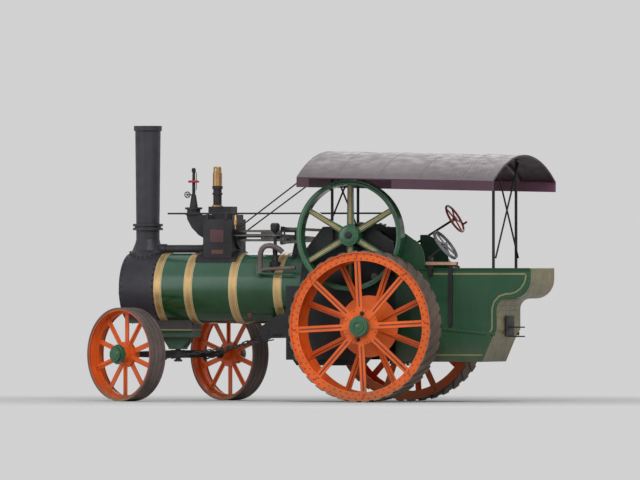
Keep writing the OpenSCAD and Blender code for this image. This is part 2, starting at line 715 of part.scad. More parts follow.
// The governor stands on the barrel beside the motion
module governor() color("#77757c") chassis() difference() {
    governor_at = [slide_back + 222, link_y + 127];
    translate([governor_at.x, governor_at.y, boiler_z]) rotate_extrude() polygon([[0, 200], [70, 200], [70, 330],
        [42, 345], [30, 420], [34, 500], [22, 520], [18, 690], [40, 712], [58, 740], [60, 788], [48, 812],
        [0, 818]]);
    shell_cut(slide_back, slide_back + 400);
    bands_cut();
}

// The long rod from the regulator on the cylinder back to the footplate
module regulator_rod() color("#2b2c2f") chassis() {
    rod_y = chest_y + 2;
    translate([0, rod_y, regulator_rod_z]) along_x(-80, cylinder_front + 470, regulator_rod_r);
    for (x = [cylinder_back + 70, cylinder_front - 60]) translate([x - 14, rod_y - 32, top_z + seat])
        cube([28, 44, regulator_rod_z - top_z]);
    translate([-80, rod_y - 40, regulator_rod_z]) along_y(0, 80, regulator_rod_r);
}

module motion_bracket() color("#2b2c2f") chassis() difference() {
    upright_t = 34;
    union() {
        profile_x(slide_back, slide_back + upright_t) difference() {
            polygon([[-260, boiler_z + 300], [260, boiler_z + 300], [260, boiler_z + 370],
                [138, crank_z - 90], [138, crank_z + bar_off + bar_h + 30],
                [-138, crank_z + bar_off + bar_h + 30], [-138, crank_z - 90], [-260, boiler_z + 370]]);
            translate([-62, crank_z - 190]) square([124, 700]);
        }
    }
    shell_cut(slide_back - 10, slide_back + 60);
    both_sides() for (up = [-1, 1])
        translate([slide_back - 1, bar_y - 1, crank_z + up * (bar_off + bar_h / 2) - bar_h / 2 - 1])
            cube([upright_t + 2, bar_w + 2, bar_h + 2]);
}

module slide_bars() color("#a9abad") chassis() both_sides() for (up = [-1, 1])
    translate([slide_back - 20, bar_y, crank_z + up * (bar_off + bar_h / 2) - bar_h / 2])
        cube([cylinder_back - 34 - slide_back, bar_w, bar_h]);

module crosshead() color("#a9abad") chassis() translate([0, 0, crank_z]) difference() {
    cheek_y = 41;
    cheek_out = bar_y - 8;
    web_x = crank_x + crank_throw + con_rod + 64;
    union() {
        both_sides() {
            profile_y(cheek_y, cheek_out) union() {
                translate([crosshead_x, 0]) circle(r = 62);
                translate([crosshead_x, -50]) square([web_x + 20 - crosshead_x, 100]);
            }
            translate([crosshead_x - 90, cheek_out - lap, -bar_off + seat])
                cube([180, bar_y + bar_w - 4 - cheek_out, 2 * (bar_off - seat)]);
        }
        translate([web_x, -cheek_out, -50]) cube([34, 2 * cheek_out, 100]);
        along_x(web_x + 20, cylinder_back - 40, 24);
    }
    translate([crosshead_x, 0, 0]) along_y(-200, 200, 10);
}

// The curved link between the eccentric rods, with the valve rod that it drives
module valve_link() color("#8f9194") chassis() translate([0, 0, crank_z]) union() {
    profile_y(link_y, link_y + link_t) difference() {
        intersection() {
            translate([crank_x, 0]) difference() {
                circle(r = link_r + 32);
                circle(r = link_r - 32);
            }
            polygon([[crank_x, 0], [crank_x + 1200, 1200 * tan(link_half)],
                [crank_x + 1200, -1200 * tan(link_half)]]);
        }
        intersection() {
            translate([crank_x, 0]) difference() {
                circle(r = link_r + 12);
                circle(r = link_r - 12);
            }
            polygon([[crank_x, 0], [crank_x + 1200, 1200 * tan(link_half - 2)],
                [crank_x + 1200, -1200 * tan(link_half - 2)]]);
        }
    }
    translate([0, link_y + link_t / 2, 0]) along_x(crank_x + link_r + 20, cylinder_back, 14);
}

// A gear's outline: teeth as trapezoids on a disc
module gear_outline(teeth, turn) {
    pitch_r = tooth_module * teeth / 2;
    root_r = pitch_r - 1.15 * tooth_module;
    tip_r = pitch_r + 0.85 * tooth_module;
    root_half = 0.27 * 360 / teeth;
    tip_half = 0.12 * 360 / teeth;
    circle(r = root_r + 1);
    for (i = [0:teeth - 1]) rotate(turn + i * 360 / teeth)
        polygon([[root_r * cos(root_half) - 4, -root_r * sin(root_half)], [tip_r, -tip_r * sin(tip_half)],
            [tip_r, tip_r * sin(tip_half)], [root_r * cos(root_half) - 4, root_r * sin(root_half)]]);
}

module crankshaft() color("#8e9092") chassis() translate([crank_x, 0, crank_z]) union() {
    web_in = 46;
    web_t = 42;
    both_sides() {
        rotate([0, -crank_rest, 0]) profile_y(web_in, web_in + web_t) union() {
            circle(r = 74);
            translate([crank_throw, 0]) circle(r = 60);
            translate([0, -54]) square([crank_throw, 108]);
        }
    }
    along_y(web_in + lap, flywheel_out + 4, crank_r);
    along_y(-second_gear_start - second_gear_w, -web_in - lap, crank_r);
    rotate([0, -crank_rest, 0]) translate([crank_throw, 0, 0]) along_y(-web_in - lap, web_in + lap, 40);
    for (sheave = eccentrics)
        rotate([0, -crank_rest - sheave[1], 0]) translate([eccentric_throw, 0, 0])
            along_y(sheave[0], sheave[0] + eccentric_w, eccentric_r);
}

// The pinion slides on the crankshaft; it stands clear of the second shaft's gear
module crank_pinion() color("#56585a") chassis() translate([crank_x, 0, crank_z])
    profile_y(4 - gear_start - final_gear_w, -gear_start) difference() {
        gear_outline(crank_teeth, 0);
        circle(r = crank_r + running);
    }

module flywheel() color("#2d5f3e") chassis() translate([crank_x, 0, crank_z]) difference() {
    hub_r = 130;
    spoke_t = 46;
    hub_w = flywheel_w + 26;
    hub_in = flywheel_out - hub_w;
    union() {
        rotate([-90, 0, 0]) {
            ring(flywheel_r - flywheel_rim, flywheel_r, flywheel_y, flywheel_out);
        }
        along_y(hub_in, hub_in + hub_w, hub_r);
        for (i = [0:5]) rotate([0, i * 60 + 90, 0])
            profile_y(flywheel_y + flywheel_w / 2 - spoke_t / 2, flywheel_y + flywheel_w / 2 + spoke_t / 2)
                polygon([[hub_r - 10, -41], [flywheel_r - flywheel_rim + 4, -33],
                    [flywheel_r - flywheel_rim + 4, 33], [hub_r - 10, 41]]);
    }
    along_y(hub_in - 1, flywheel_out + 1, crank_r + seat);
}

module connecting_rod() color("#b4b6b8") chassis()
    translate([crank_pin.x, 0, crank_pin.y]) rotate([0, -rod_slope, 0]) difference() {
        union() {
            along_y(-40, 40, 70);
            translate([con_rod, 0, 0]) along_y(-33, 33, 52);
            translate([40, -20, -28]) cube([con_rod - 60, 40, 56]);
        }
        along_y(-60, 60, 40 + running);
        translate([con_rod, 0, 0]) along_y(-60, 60, 26);
    }

module eccentric_rod(which) color("#a4a6a8") chassis() {
    sheave = eccentrics[which];
    strap_y = sheave[0] + 2;
    strap_t = eccentric_w - 4;
    centre = [crank_x + eccentric_throw * cos(crank_rest + sheave[1]),
        crank_z + eccentric_throw * sin(crank_rest + sheave[1])];
    end = [crank_x + link_r * cos(link_pins[which]), crank_z + link_r * sin(link_pins[which])];
    way = end - centre;
    translate([centre.x, 0, centre.y]) rotate([0, -atan2(way.y, way.x), 0]) difference() {
        union() {
            along_y(strap_y, strap_y + strap_t, eccentric_r + 26);
            translate([eccentric_r + 10, strap_y + 4, -18]) cube([norm(way) - eccentric_r - 24, strap_t - 8, 36]);
            translate([norm(way), 0, 0]) along_y(strap_y, strap_y + strap_t, 26);
        }
        along_y(strap_y - 1, strap_y + strap_t + 1, eccentric_r + running);
        translate([norm(way), 0, 0]) along_y(strap_y - 1, strap_y + strap_t + 1, 11);
    }
}
module eccentric_rod_forward() eccentric_rod(0);
module eccentric_rod_reverse() eccentric_rod(1);

// The second shaft, its big wheel and its pinion, in mesh with the final gear on the rear axle
module second_shaft() color("#56585a") chassis() translate([second_x, 0, second_z]) {
    along_y(-second_gear_start - second_gear_w - 4, hornplate_out + 4, second_shaft_r);
    profile_y(-second_gear_start - second_gear_w, -second_gear_start) gear_outline(second_teeth, 0);
    profile_y(-gear_start - final_gear_w - side_gap, -gear_start)
        gear_outline(pinion_teeth, second_angle + 180 + 180 / pinion_teeth);
}

// The guard over the second shaft's gear, on feet that reach out from the hornplate
module gear_guard() color("#2d5f3e") chassis() translate([second_x, 0, second_z]) {
    guard_r = tooth_module * second_teeth / 2 + tooth_module + 14;
    sheet_t = 6;
    guard_y = second_gear_start - 2;
    guard_w = second_gear_w + 8;
    profile_y(-guard_y - guard_w, -guard_y) difference() {
        circle(r = guard_r + sheet_t);
        circle(r = guard_r);
        rotate(-24) translate([-2 * guard_r, -2 * guard_r]) square([4 * guard_r, 2 * guard_r]);
    }
    for (turn = [100, 15, -10]) rotate([0, -turn, 0]) translate([guard_r + sheet_t / 2, 0, 0])
        along_y(-guard_y - guard_w / 2, -hornplate_out - seat, 12);
}

// Points along an arc, from angle a0 to angle a1
function arc(centre, r, a0, a1, n) =
    [for (i = [0:n]) centre + r * [cos(a0 + (a1 - a0) * i / n), sin(a0 + (a1 - a0) * i / n)]];

// Outline of the tender's side in X and Z: the bunker curves in to the narrower tank below
module tender_outline(inset) {
    bulge_r = 240;
    neck_r = 130;
    back = tender_back + inset;
    tank = tank_back + inset;
    shelf_z = 1285 + inset;
    polygon(concat([[hornplate_back, tender_top]], [[back, tender_top]],
        arc([back + bulge_r, shelf_z + bulge_r], bulge_r, 180, 270, 7),
        arc([tank - neck_r, shelf_z - neck_r], neck_r, 90, 0, 5),
        [[tank, 900], [tank + 60, 800], [tank + 190, tender_bottom], [hornplate_back, tender_bottom]]));
}

module tender() color("#28503a") chassis() difference() {
    profile_y(-tender_half, tender_half) tender_outline(0);
    // The space for the crew, and the coal bunker behind it
    translate([bunker_x, -tender_half + tender_t, footplate_z])
        cube([hornplate_back - bunker_x + 1, 2 * (tender_half - tender_t), tender_top]);
    intersection() {
        profile_y(-tender_half + tender_t, tender_half - tender_t) union() {
            tender_outline(tender_t);
            translate([tender_back + tender_t, tender_top - 20]) square([900, 100]);
        }
        translate([tender_back, -tender_half, coal_floor_z])
            cube([bunker_x - tender_t - tender_back, 2 * tender_half, tender_top]);
    }
}

// The rounded sheets that stand on the tender's sides behind the hornplates
module side_sheets() color("#28503a") chassis() both_sides()
    profile_y(tender_half - tender_t + 1, tender_half) polygon([[hornplate_back - side_gap, tender_top + seat],
        [hornplate_back - side_gap, 2080], [-360, 2080], [-392, 2066], [-523, 2008], [-585, 1950], [-617, 1896],
        [-641, 1796], [-645, tender_top + seat]]);

module footplate() color("#3c3a38") chassis() difference() {
    translate([hornplate_back + seat, -boiler_r, footplate_z - 10])
        cube([firebox_back - hornplate_back - 2 * seat, 2 * boiler_r, 10]);
    both_sides() translate([0, 0, rear_r]) along_y(hornplate_y - 46, hornplate_out, 110);
}

// The drawbar jaw: two plates with the pin's holes, on a pad behind the tank
module hitch() color("#2b2c2f") chassis() difference() {
    pad_t = 24;
    pad_back = tank_back - pad_t;
    end_r = 48;
    union() {
        translate([pad_back, -150, hitch_z - 60]) cube([pad_t - seat, 300, 260]);
        for (up = [-1, 1]) {
            at = hitch_z + up * (hitch_gap + hitch_plate_t) / 2 - hitch_plate_t / 2;
            translate([tank_back - hitch_reach + end_r, -end_r, at])
                cube([hitch_reach - end_r - seat, 2 * end_r, hitch_plate_t]);
            translate([tank_back - hitch_reach + end_r, 0, at]) cylinder(h = hitch_plate_t, r = end_r - 1);
        }
    }
    translate([tank_back - hitch_reach + end_r, 0, hitch_z - 100]) cylinder(h = 200, r = hitch_pin_r);
}

// The roof is an arch over straight side boards
module canopy_section(inset) intersection() {
    translate([0, valance_h + canopy_rise - roof_r]) circle(r = roof_r - inset);
    translate([-canopy_half + inset, -inset]) square([2 * (canopy_half - inset), valance_h + 2 * canopy_rise]);
}

module canopy_roof() color("#70646a") chassis() translate([0, 0, canopy_z])
    rotate([0, -canopy_slope, 0]) difference() {
        profile_x(canopy_back, canopy_front) canopy_section(0);
        difference() {
            profile_x(canopy_back - 1, canopy_front + 1) canopy_section(canopy_t);
            // The front board, between the side boards
            translate([canopy_front - canopy_t, -canopy_half, -1])
                cube([canopy_t, 2 * canopy_half, valance_h + 1]);
        }
        translate([board_cut[0], canopy_half - 2 * canopy_t, -1])
            cube([board_cut[1] - board_cut[0], 3 * canopy_t, valance_h - board_strip + 1]);
    }

// The front posts stand on the frame plates and the rear ones on the tender: X, Y and foot
module canopy_posts() color("#25262a") chassis() both_sides() {
    foot_h = 150;
    for (post = [[front_post_x, post_y, 2000], [rear_post_x, rear_post_y, tender_top + seat]])
        translate([post[0], post[1], post[2]])
            cylinder(h = roof_under(post[0], post[1] + post_r) - seat - post[2], r = post_r);
    translate([front_post_x - 26, hornplate_out + seat, 2000]) cube([52, post_r, foot_h]);
    translate([rear_post_x - 60, rear_post_y - post_r - 6, tender_top + seat])
        cube([120, tender_half - rear_post_y + post_r + 6, 10]);
}

// The stays of the canopy: crossed bars between each pair of posts, and two down to the cylinder
module canopy_stays() color("#25262a") chassis() {
    for (pair = [[front_post_x + post_r + stay_r + seat, 2220, post_y],
            [rear_post_x - post_r - stay_r - seat, 1790, rear_post_y]])
        for (side = [-1, 1])
            bar([pair[0], side * pair[2], pair[1]],
                [pair[0], -side * pair[2], roof_under(pair[0], pair[2]) - 3 * stay_r], stay_r);
    both_sides() bar([front_post_x + 60, 262, roof_under(front_post_x, 280) - 0.36 * stay_r],
        [cylinder_back - 0.5 * stay_r, 215, crank_z + 50], 0.8 * stay_r);
}

module chain_barrel() color("#2b2c2f") chassis() translate([barrel_x, 0, barrel_z]) {
    half = hornplate_y - 12;
    along_y(-half, half, barrel_r);
    along_y(-steering_y, hornplate_out + 8, barrel_shaft_r);
    along_y(-steering_y - 14, -steering_y + 14, worm_gear_r);
}

// A chain of oval links from the barrel to an eye on the front axle
module link(turn, pitch) rotate([turn, 0, 0]) linear_extrude(chain_t, center = true) difference() {
    wide = 1.55 * chain_t;
    half = pitch / 2 + seat / 2 - (wide - chain_t);
    union() {
        for (end = [-1, 1]) translate([end * half, 0]) circle(r = wide);
        translate([-half, -wide + 0.5]) square([2 * half, 2 * wide - 1]);
    }
    union() {
        for (end = [-1, 1]) translate([end * half, 0]) circle(r = wide - chain_t);
        translate([-half, -wide + chain_t + 0.5]) square([2 * half, 2 * (wide - chain_t) - 1]);
    }
}
// The left chain leaves the barrel from below, the right one from above
module chain(side) {
    eye_back = 50 + chain_eye_reach + chain_t + (side > 0 ? 2.2 : 3);
    eye = [wheelbase + side * chain_eye_y * sin(steer_rest) - eye_back * cos(steer_rest),
        side * chain_eye_y * cos(steer_rest) + eye_back * sin(steer_rest), chain_eye_z];
    start = [barrel_x, side * chain_start_y];
    off = barrel_r + 1.55 * chain_t + seat;
    flat = norm([eye.x - start.x, eye.y - start.y]);
    reach = norm([flat, eye.z - barrel_z]);
    rise = atan2(eye.z - barrel_z, flat) + side * asin(off / reach);
    run = sqrt(reach * reach - off * off);
    count = round(run / chain_pitch);
    translate([start.x, start.y, barrel_z]) rotate([0, -rise, atan2(eye.y - start.y, eye.x - start.x)])
        translate([0, 0, -side * off])
            for (i = [0:count - 1]) translate([(i + 0.5) * run / count, 0, 0]) link(i % 2 * 90, run / count);
}
module steering_chains() color("#1f1f21") chassis() for (side = [-1, 1]) chain(side);

// A hand wheel about Z, with four arms
module hand_wheel(r, bar_r, arms) {
    rotate_extrude() translate([r - bar_r, 0]) circle(r = bar_r, $fn = 24);
    cylinder(h = hand_hub_h, r = 26, center = true);
    for (i = [0:arms - 1]) rotate([0, 90, i * 360 / arms]) cylinder(h = r - bar_r, r = bar_r * 0.7, $fn = 24);
}

module steering_column() color("#25262a") chassis() translate(steering_wheel_at)
    rotate([0, 90 + steering_dive, 0]) {
        translate([0, 0, hand_hub_h / 2])
            cylinder(h = steering_reach + 90 - hand_hub_h / 2, r = steering_shaft_r);
        translate([0, 0, steering_reach - 60]) cylinder(h = 120, r = worm_r);
    }

module steering_wheel() color("#a01c22") chassis() translate(steering_wheel_at)
    rotate([0, 90 + steering_dive, 0]) {
        hand_wheel(steering_wheel_r, 14, 5);
        // The knob on the rim
        rotate([0, 0, -63]) translate([steering_wheel_r - 14, 0, -70]) cylinder(h = 70, r = 13);
    }

// The bearings that carry the steering shaft beside the right hornplate
module steering_bracket() color("#2b2c2f") chassis() difference() {
    for (along = [760, 2120]) translate(steering_wheel_at) rotate([0, 90 + steering_dive, 0])
        translate([-30, -24, along]) cube([60, shaft_lane / 2 + 24 - seat, 56]);
    translate(steering_wheel_at) rotate([0, 90 + steering_dive, 0])
        cylinder(h = steering_reach, r = steering_shaft_r + running);
}

// The brake: a leaning wheel over a post on the tender's left side, with a board between them
module brake_column() color("#3a302c") chassis() {
    foot = brake_wheel_at + 250 * [sin(brake_lean), 0, -cos(brake_lean)];
    bar(brake_wheel_at - (hand_hub_h / 2 + seat) * [-sin(brake_lean), 0, cos(brake_lean)], foot, 15);
    translate([foot.x - 24, tender_half + seat, tender_top - 70]) cube([48, 60, foot.z - tender_top + 90]);
    translate([foot.x - 350, tender_half + seat, brake_board_z]) cube([400, 66, 34]);
    translate([-1013, tender_half + seat, 950]) cube([50, 30, brake_board_z + 4 - 950]);
}

module brake_wheel() color("#77777b") chassis() translate(brake_wheel_at) rotate([0, -brake_lean, 0]) {
    ring(brake_wheel_r - 22, brake_wheel_r, -17, 17);
    cylinder(h = hand_hub_h, r = 26, center = true);
    for (i = [0:4]) rotate([0, 90, i * 72]) cylinder(h = brake_wheel_r - 12, r = 11);
}

module firehole_door() color("#2b2c2f") chassis() {
    door_t = 14;
    strap_h = 40;
    translate([firebox_back - seat, 0, firehole_z]) rotate([0, -90, 0]) cylinder(h = door_t, r = firehole_r + 24);
    difference() {
        union() {
            translate([fire_hinge_x, fire_hinge_y, firehole_z - strap_h / 2]) cylinder(h = strap_h, r = 16);
            translate([fire_hinge_x - 6, fire_hinge_y, firehole_z - strap_h / 2]) cube([18, 120, strap_h]);
        }
        translate([fire_hinge_x, fire_hinge_y, firehole_z - strap_h]) cylinder(h = 2 * strap_h, r = 8 + running);
    }
}

// The pin of the firehole's door, in a bracket on the back plate
module fire_hinge() color("#2b2c2f") chassis() {
    translate([fire_hinge_x, fire_hinge_y, firehole_z - 60]) cylinder(h = 120, r = 8);
    for (up = [-1, 1]) translate([fire_hinge_x - 14, fire_hinge_y - 14, firehole_z + up * 38 - 12])
        cube([firebox_back - fire_hinge_x + 14 - seat, 28, 24]);
}

module feed_pipe() color("#a0622d") chassis() {
    clack = [1560, boiler_r + 30, 1640];
    translate([clack.x, 0, 0]) {
        translate([0, 0, clack.z]) difference() {
            along_y(300, clack.y, 26);
            translate([0, 0, boiler_z - clack.z]) along_x(-60, 60, boiler_r + seat);
        }
        translate([0, clack.y, clack.z - 60]) cylinder(h = 130, r = 24);
    }
    bar([clack.x, clack.y, clack.z - 40], [1080, clack.y, clack.z - 60], 13);
}

boiler();
boiler_bands();
hornplates();
ashpan();
fire_hinge();
smokebox();
smokebox_door();
chimney_base();
chimney();
perch_bracket();
front_axle();
front_wheel_left();
front_wheel_right();
front_tyre_left();
front_tyre_right();
front_hub_left();
front_hub_right();
rear_axle();
final_gear();
rear_wheel_left();
rear_wheel_right();
rear_tyre_left();
rear_tyre_right();
rear_hub_left();
rear_hub_right();
cylinder_block();
exhaust_pipe();
safety_valve();
lubricator();
motion_bracket();
slide_bars();
crosshead();
valve_link();
crankshaft();
crank_pinion();
governor();
regulator_rod();
side_sheets();
flywheel();
connecting_rod();
eccentric_rod_forward();
eccentric_rod_reverse();
second_shaft();
gear_guard();
tender();
footplate();
hitch();
canopy_roof();
canopy_posts();
canopy_stays();
chain_barrel();
steering_chains();
steering_column();
steering_wheel();
steering_bracket();
brake_column();
brake_wheel();
firehole_door();
feed_pipe();
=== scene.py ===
"""Looks of the traction engine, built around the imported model. Lengths are in metres."""
import json
import math

import bmesh
import bpy
from mathutils import Matrix, Vector


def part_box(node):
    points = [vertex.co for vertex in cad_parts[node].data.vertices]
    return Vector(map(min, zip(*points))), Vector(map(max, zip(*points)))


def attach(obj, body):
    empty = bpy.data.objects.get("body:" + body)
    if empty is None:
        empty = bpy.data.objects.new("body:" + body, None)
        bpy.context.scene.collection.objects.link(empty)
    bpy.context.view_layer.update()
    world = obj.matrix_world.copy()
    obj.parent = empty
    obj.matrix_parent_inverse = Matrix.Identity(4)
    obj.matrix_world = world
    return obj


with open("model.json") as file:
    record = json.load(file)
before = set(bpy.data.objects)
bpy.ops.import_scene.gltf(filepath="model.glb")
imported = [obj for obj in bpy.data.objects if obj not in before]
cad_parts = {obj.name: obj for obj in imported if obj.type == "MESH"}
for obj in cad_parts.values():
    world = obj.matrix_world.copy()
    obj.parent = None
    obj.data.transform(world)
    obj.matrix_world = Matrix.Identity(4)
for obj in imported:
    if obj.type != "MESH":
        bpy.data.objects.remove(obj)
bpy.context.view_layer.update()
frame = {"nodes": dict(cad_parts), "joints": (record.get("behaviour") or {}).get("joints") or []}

FORWARD, LEFT, UP = (1, 0, 0), (0, 1, 0), (0, 0, 1)

# Where the bodies turn
JOINTS = {joint["child"]: joint for joint in frame["joints"]}
REAR_AXLE = JOINTS["rear_wheel_left"]["pos_m"]
FRONT_AXLE = JOINTS["front_axle"]["pos_m"]
CRANK_AXLE = JOINTS["crank"]["pos_m"]

# Unless a function says otherwise, places along X are measured forward from the rear axle
CHASSIS = Matrix.Translation((REAR_AXLE[0], 0, 0))

# The front axle stands turned as in the record, which gives the way of its wheels' axle
AXLE_WAY = JOINTS["front_wheel_left"]["axis"]
STEERED = Matrix.Translation(FRONT_AXLE) @ Matrix.Rotation(-math.atan2(AXLE_WAY[0], AXLE_WAY[1]), 4, "Z")

# Middle of the wheels' width, out along their axles
REAR_OUT, FRONT_OUT = 0.860, 0.890
BOILER_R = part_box("boiler")[1].y
BOILER_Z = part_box("boiler")[1].z - BOILER_R
# Front edges of the boiler bands
BAND_FRONTS = (2.965, 2.552, 1.956, 1.362)
HORNPLATE_OUT = 0.4543
TENDER_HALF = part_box("tender")[1].y
# The roof rises forward, in degrees
ROOF_SLOPE = 1.2


# Building blocks of the materials
def new_material(name):
    """A new material, its node tree and its main shader."""
    mat = bpy.data.materials.new(name)
    mat.use_nodes = True
    tree = mat.node_tree
    return mat, tree, tree.nodes["Principled BSDF"]


def link(tree, a, b):
    """Joins output a to input b."""
    tree.links.new(a, b)


def noise(tree, scale, detail=4.0, rough=0.55, stretch=(1, 1, 1), offset=(0, 0, 0)):
    """Noise that stays with the piece."""
    coord = tree.nodes.new("ShaderNodeTexCoord")
    place = tree.nodes.new("ShaderNodeMapping")
    place.inputs["Scale"].default_value = stretch
    place.inputs["Location"].default_value = offset
    link(tree, coord.outputs["Object"], place.inputs["Vector"])
    tex = tree.nodes.new("ShaderNodeTexNoise")
    tex.inputs["Scale"].default_value = scale
    tex.inputs["Detail"].default_value = detail
    tex.inputs["Roughness"].default_value = rough
    link(tree, place.outputs["Vector"], tex.inputs["Vector"])
    return tex.outputs["Fac"]


def ramp(tree, fac, low, high, a=0.0, b=1.0):
    """A smooth step from a, where the factor is low, to b, where it is high."""
    node = tree.nodes.new("ShaderNodeMapRange")
    node.interpolation_type = "SMOOTHSTEP"
    node.inputs["From Min"].default_value = low
    node.inputs["From Max"].default_value = high
    node.inputs["To Min"].default_value = a
    node.inputs["To Max"].default_value = b
    link(tree, fac, node.inputs["Value"])
    return node.outputs["Result"]


def math_node(tree, op, a, b):
    """The result of one operation on two numbers or outputs."""
    node = tree.nodes.new("ShaderNodeMath")
    node.operation = op
    for socket, value in zip(node.inputs, (a, b)):
        if isinstance(value, (int, float)):
            socket.default_value = value
        else:
            link(tree, value, socket)
    return node.outputs[0]


def mix(tree, fac, a, b):
    """Colour a where the factor is 0, colour b where it is 1."""
    node = tree.nodes.new("ShaderNodeMix")
    node.data_type = "RGBA"
    for socket, value in zip((node.inputs[0], node.inputs[6], node.inputs[7]), (fac, a, b)):
        if isinstance(value, (int, float)):
            socket.default_value = value
        elif isinstance(value, (tuple, list)):
            socket.default_value = (*value[:3], 1)
        else:
            link(tree, value, socket)
    return node.outputs[2]


def split_of(tree, node_type, output):
    """X, Y and Z of an output of a new node."""
    split = tree.nodes.new("ShaderNodeSeparateXYZ")
    link(tree, tree.nodes.new(node_type).outputs[output], split.inputs[0])
    return split.outputs


def height(tree):
    """Height above the ground, with the piece at rest."""
    return split_of(tree, "ShaderNodeTexCoord", "Object")["Z"]


def clouds(tree):
    """Broad soft clouds, for the drift of a colour."""
    return ramp(tree, noise(tree, 2.3, 5), 0.32, 0.68)


def dust_spots(tree):
    """Ragged spots, for dust and splashes."""
    return noise(tree, 5.0, 8, 0.7, offset=(3, 1, 2))


def rain(tree):
    """Streaks that run down."""
    return noise(tree, 14, 4, 0.6, (1, 1, 0.07))


def splash(tree, spots, low, high):
    """Dirt thrown up from the road: nearly whole at the low height, none at the high one."""
    return math_node(tree, "MULTIPLY", ramp(tree, height(tree), low, high, 0.85, 0.0),
                     ramp(tree, spots, 0.3, 0.65, 0.25, 1.0))


def polish(tree, bsdf, low, high):
    """A roughness that wanders between two values."""
    link(tree, ramp(tree, noise(tree, 9, 6, 0.65), 0.3, 0.7, low, high), bsdf.inputs["Roughness"])


def emboss(tree, bsdf, relief, strength):
    """A fine bump."""
    node = tree.nodes.new("ShaderNodeBump")
    node.inputs["Strength"].default_value = strength
    node.inputs["Distance"].default_value = 0.002
    link(tree, relief, node.inputs["Height"])
    link(tree, node.outputs["Normal"], bsdf.inputs["Normal"])


def times(color, factor):
    """A darker shade of a colour."""
    return [c * factor for c in color]


def surface(name, color, vary=0.25, rough=(0.3, 0.5), metal=0.0, coat=0.0, bump=0.15, grain=60.0,
            dirt=None, dirt_amount=0.35, low=None, streaks=0.0, wear=None, wear_amount=0.25, spec=0.5):
    """A finish with cloudy colour, dust, worn spots, streaks of rain and a fine bump."""
    mat, tree, bsdf = new_material(name)
    light = [min(1.0, c * (1 + vary) + 0.004) for c in color]
    col = mix(tree, clouds(tree), times(color, 1 - vary), light)
    fine = noise(tree, grain, 4, 0.6)
    col = mix(tree, ramp(tree, fine, 0.35, 0.8, 0.0, 0.25), col, times(color, 0.6))
    if streaks:
        col = mix(tree, ramp(tree, rain(tree), 0.5, 0.75, 0.0, streaks), col, dirt or times(color, 0.4))
    if dirt:
        spots = dust_spots(tree)
        col = mix(tree, ramp(tree, spots, 0.48, 0.78, 0.0, dirt_amount), col, dirt)
        if low:
            col = mix(tree, splash(tree, spots, *low), col, dirt)
    if wear:
        chips = noise(tree, 38, 7, 0.75, offset=(7, 7, 7))
        col = mix(tree, ramp(tree, chips, 0.63, 0.70, 0.0, wear_amount), col, wear)
    link(tree, col, bsdf.inputs["Base Color"])
    polish(tree, bsdf, *rough)
    bsdf.inputs["Metallic"].default_value = metal
    bsdf.inputs["Specular IOR Level"].default_value = spec
    bsdf.inputs["Coat Weight"].default_value = coat
    bsdf.inputs["Coat Roughness"].default_value = 0.12
    emboss(tree, bsdf, fine, bump)
    return mat


def perch_paint():
    """Black casting above, green below, with an olive line between them."""
    mat, tree, bsdf = new_material("perch_paint")
    line_low, line_high, edge = 0.880, 0.897, 0.003
    up = height(tree)
    drift = noise(tree, 6, 5)
    cloud = ramp(tree, drift, 0.3, 0.7)
    green = mix(tree, cloud, (0.016, 0.050, 0.026), (0.026, 0.074, 0.038))
    black = mix(tree, cloud, (0.018, 0.018, 0.020), (0.040, 0.035, 0.032))
    col = mix(tree, ramp(tree, up, line_low, line_low + edge), green, (0.18, 0.17, 0.08))
    col = mix(tree, ramp(tree, up, line_high, line_high + edge), col, black)
    link(tree, col, bsdf.inputs["Base Color"])
    link(tree, ramp(tree, drift, 0.3, 0.7, 0.35, 0.6), bsdf.inputs["Roughness"])
    return mat


def boiler_paint():
    """Dark green gloss with streaks of rain and dust below, and a painted reflection of the sky: paler
    grey-green on its top half.
    """
    mat, tree, bsdf = new_material("boiler_paint")
    up = height(tree)
    cloud = clouds(tree)
    lower = mix(tree, cloud, (0.0045, 0.038, 0.0075), (0.0075, 0.050, 0.011))
    # Painted reflection of the sky: the top half takes a paler grey-green in place of the lower green.
    sky_reflection_green = mix(tree, cloud, (0.020, 0.072, 0.040), (0.030, 0.088, 0.052))
    col = mix(tree, ramp(tree, up, 1.34, 1.46), lower, sky_reflection_green)
    col = mix(tree, ramp(tree, rain(tree), 0.5, 0.75, 0.0, 0.16), col, (0.035, 0.045, 0.030))
    under = ramp(tree, up, 1.12, 1.0, 0.0, 0.5)
    dust = math_node(tree, "MULTIPLY", under, ramp(tree, noise(tree, 5, 8, 0.7), 0.3, 0.65))
    col = mix(tree, dust, col, (0.040, 0.032, 0.022))
    link(tree, col, bsdf.inputs["Base Color"])
    polish(tree, bsdf, 0.16, 0.28)
    bsdf.inputs["Specular IOR Level"].default_value = 0.45
    bsdf.inputs["Coat Weight"].default_value = 0.25
    bsdf.inputs["Coat Roughness"].default_value = 0.12
    return mat


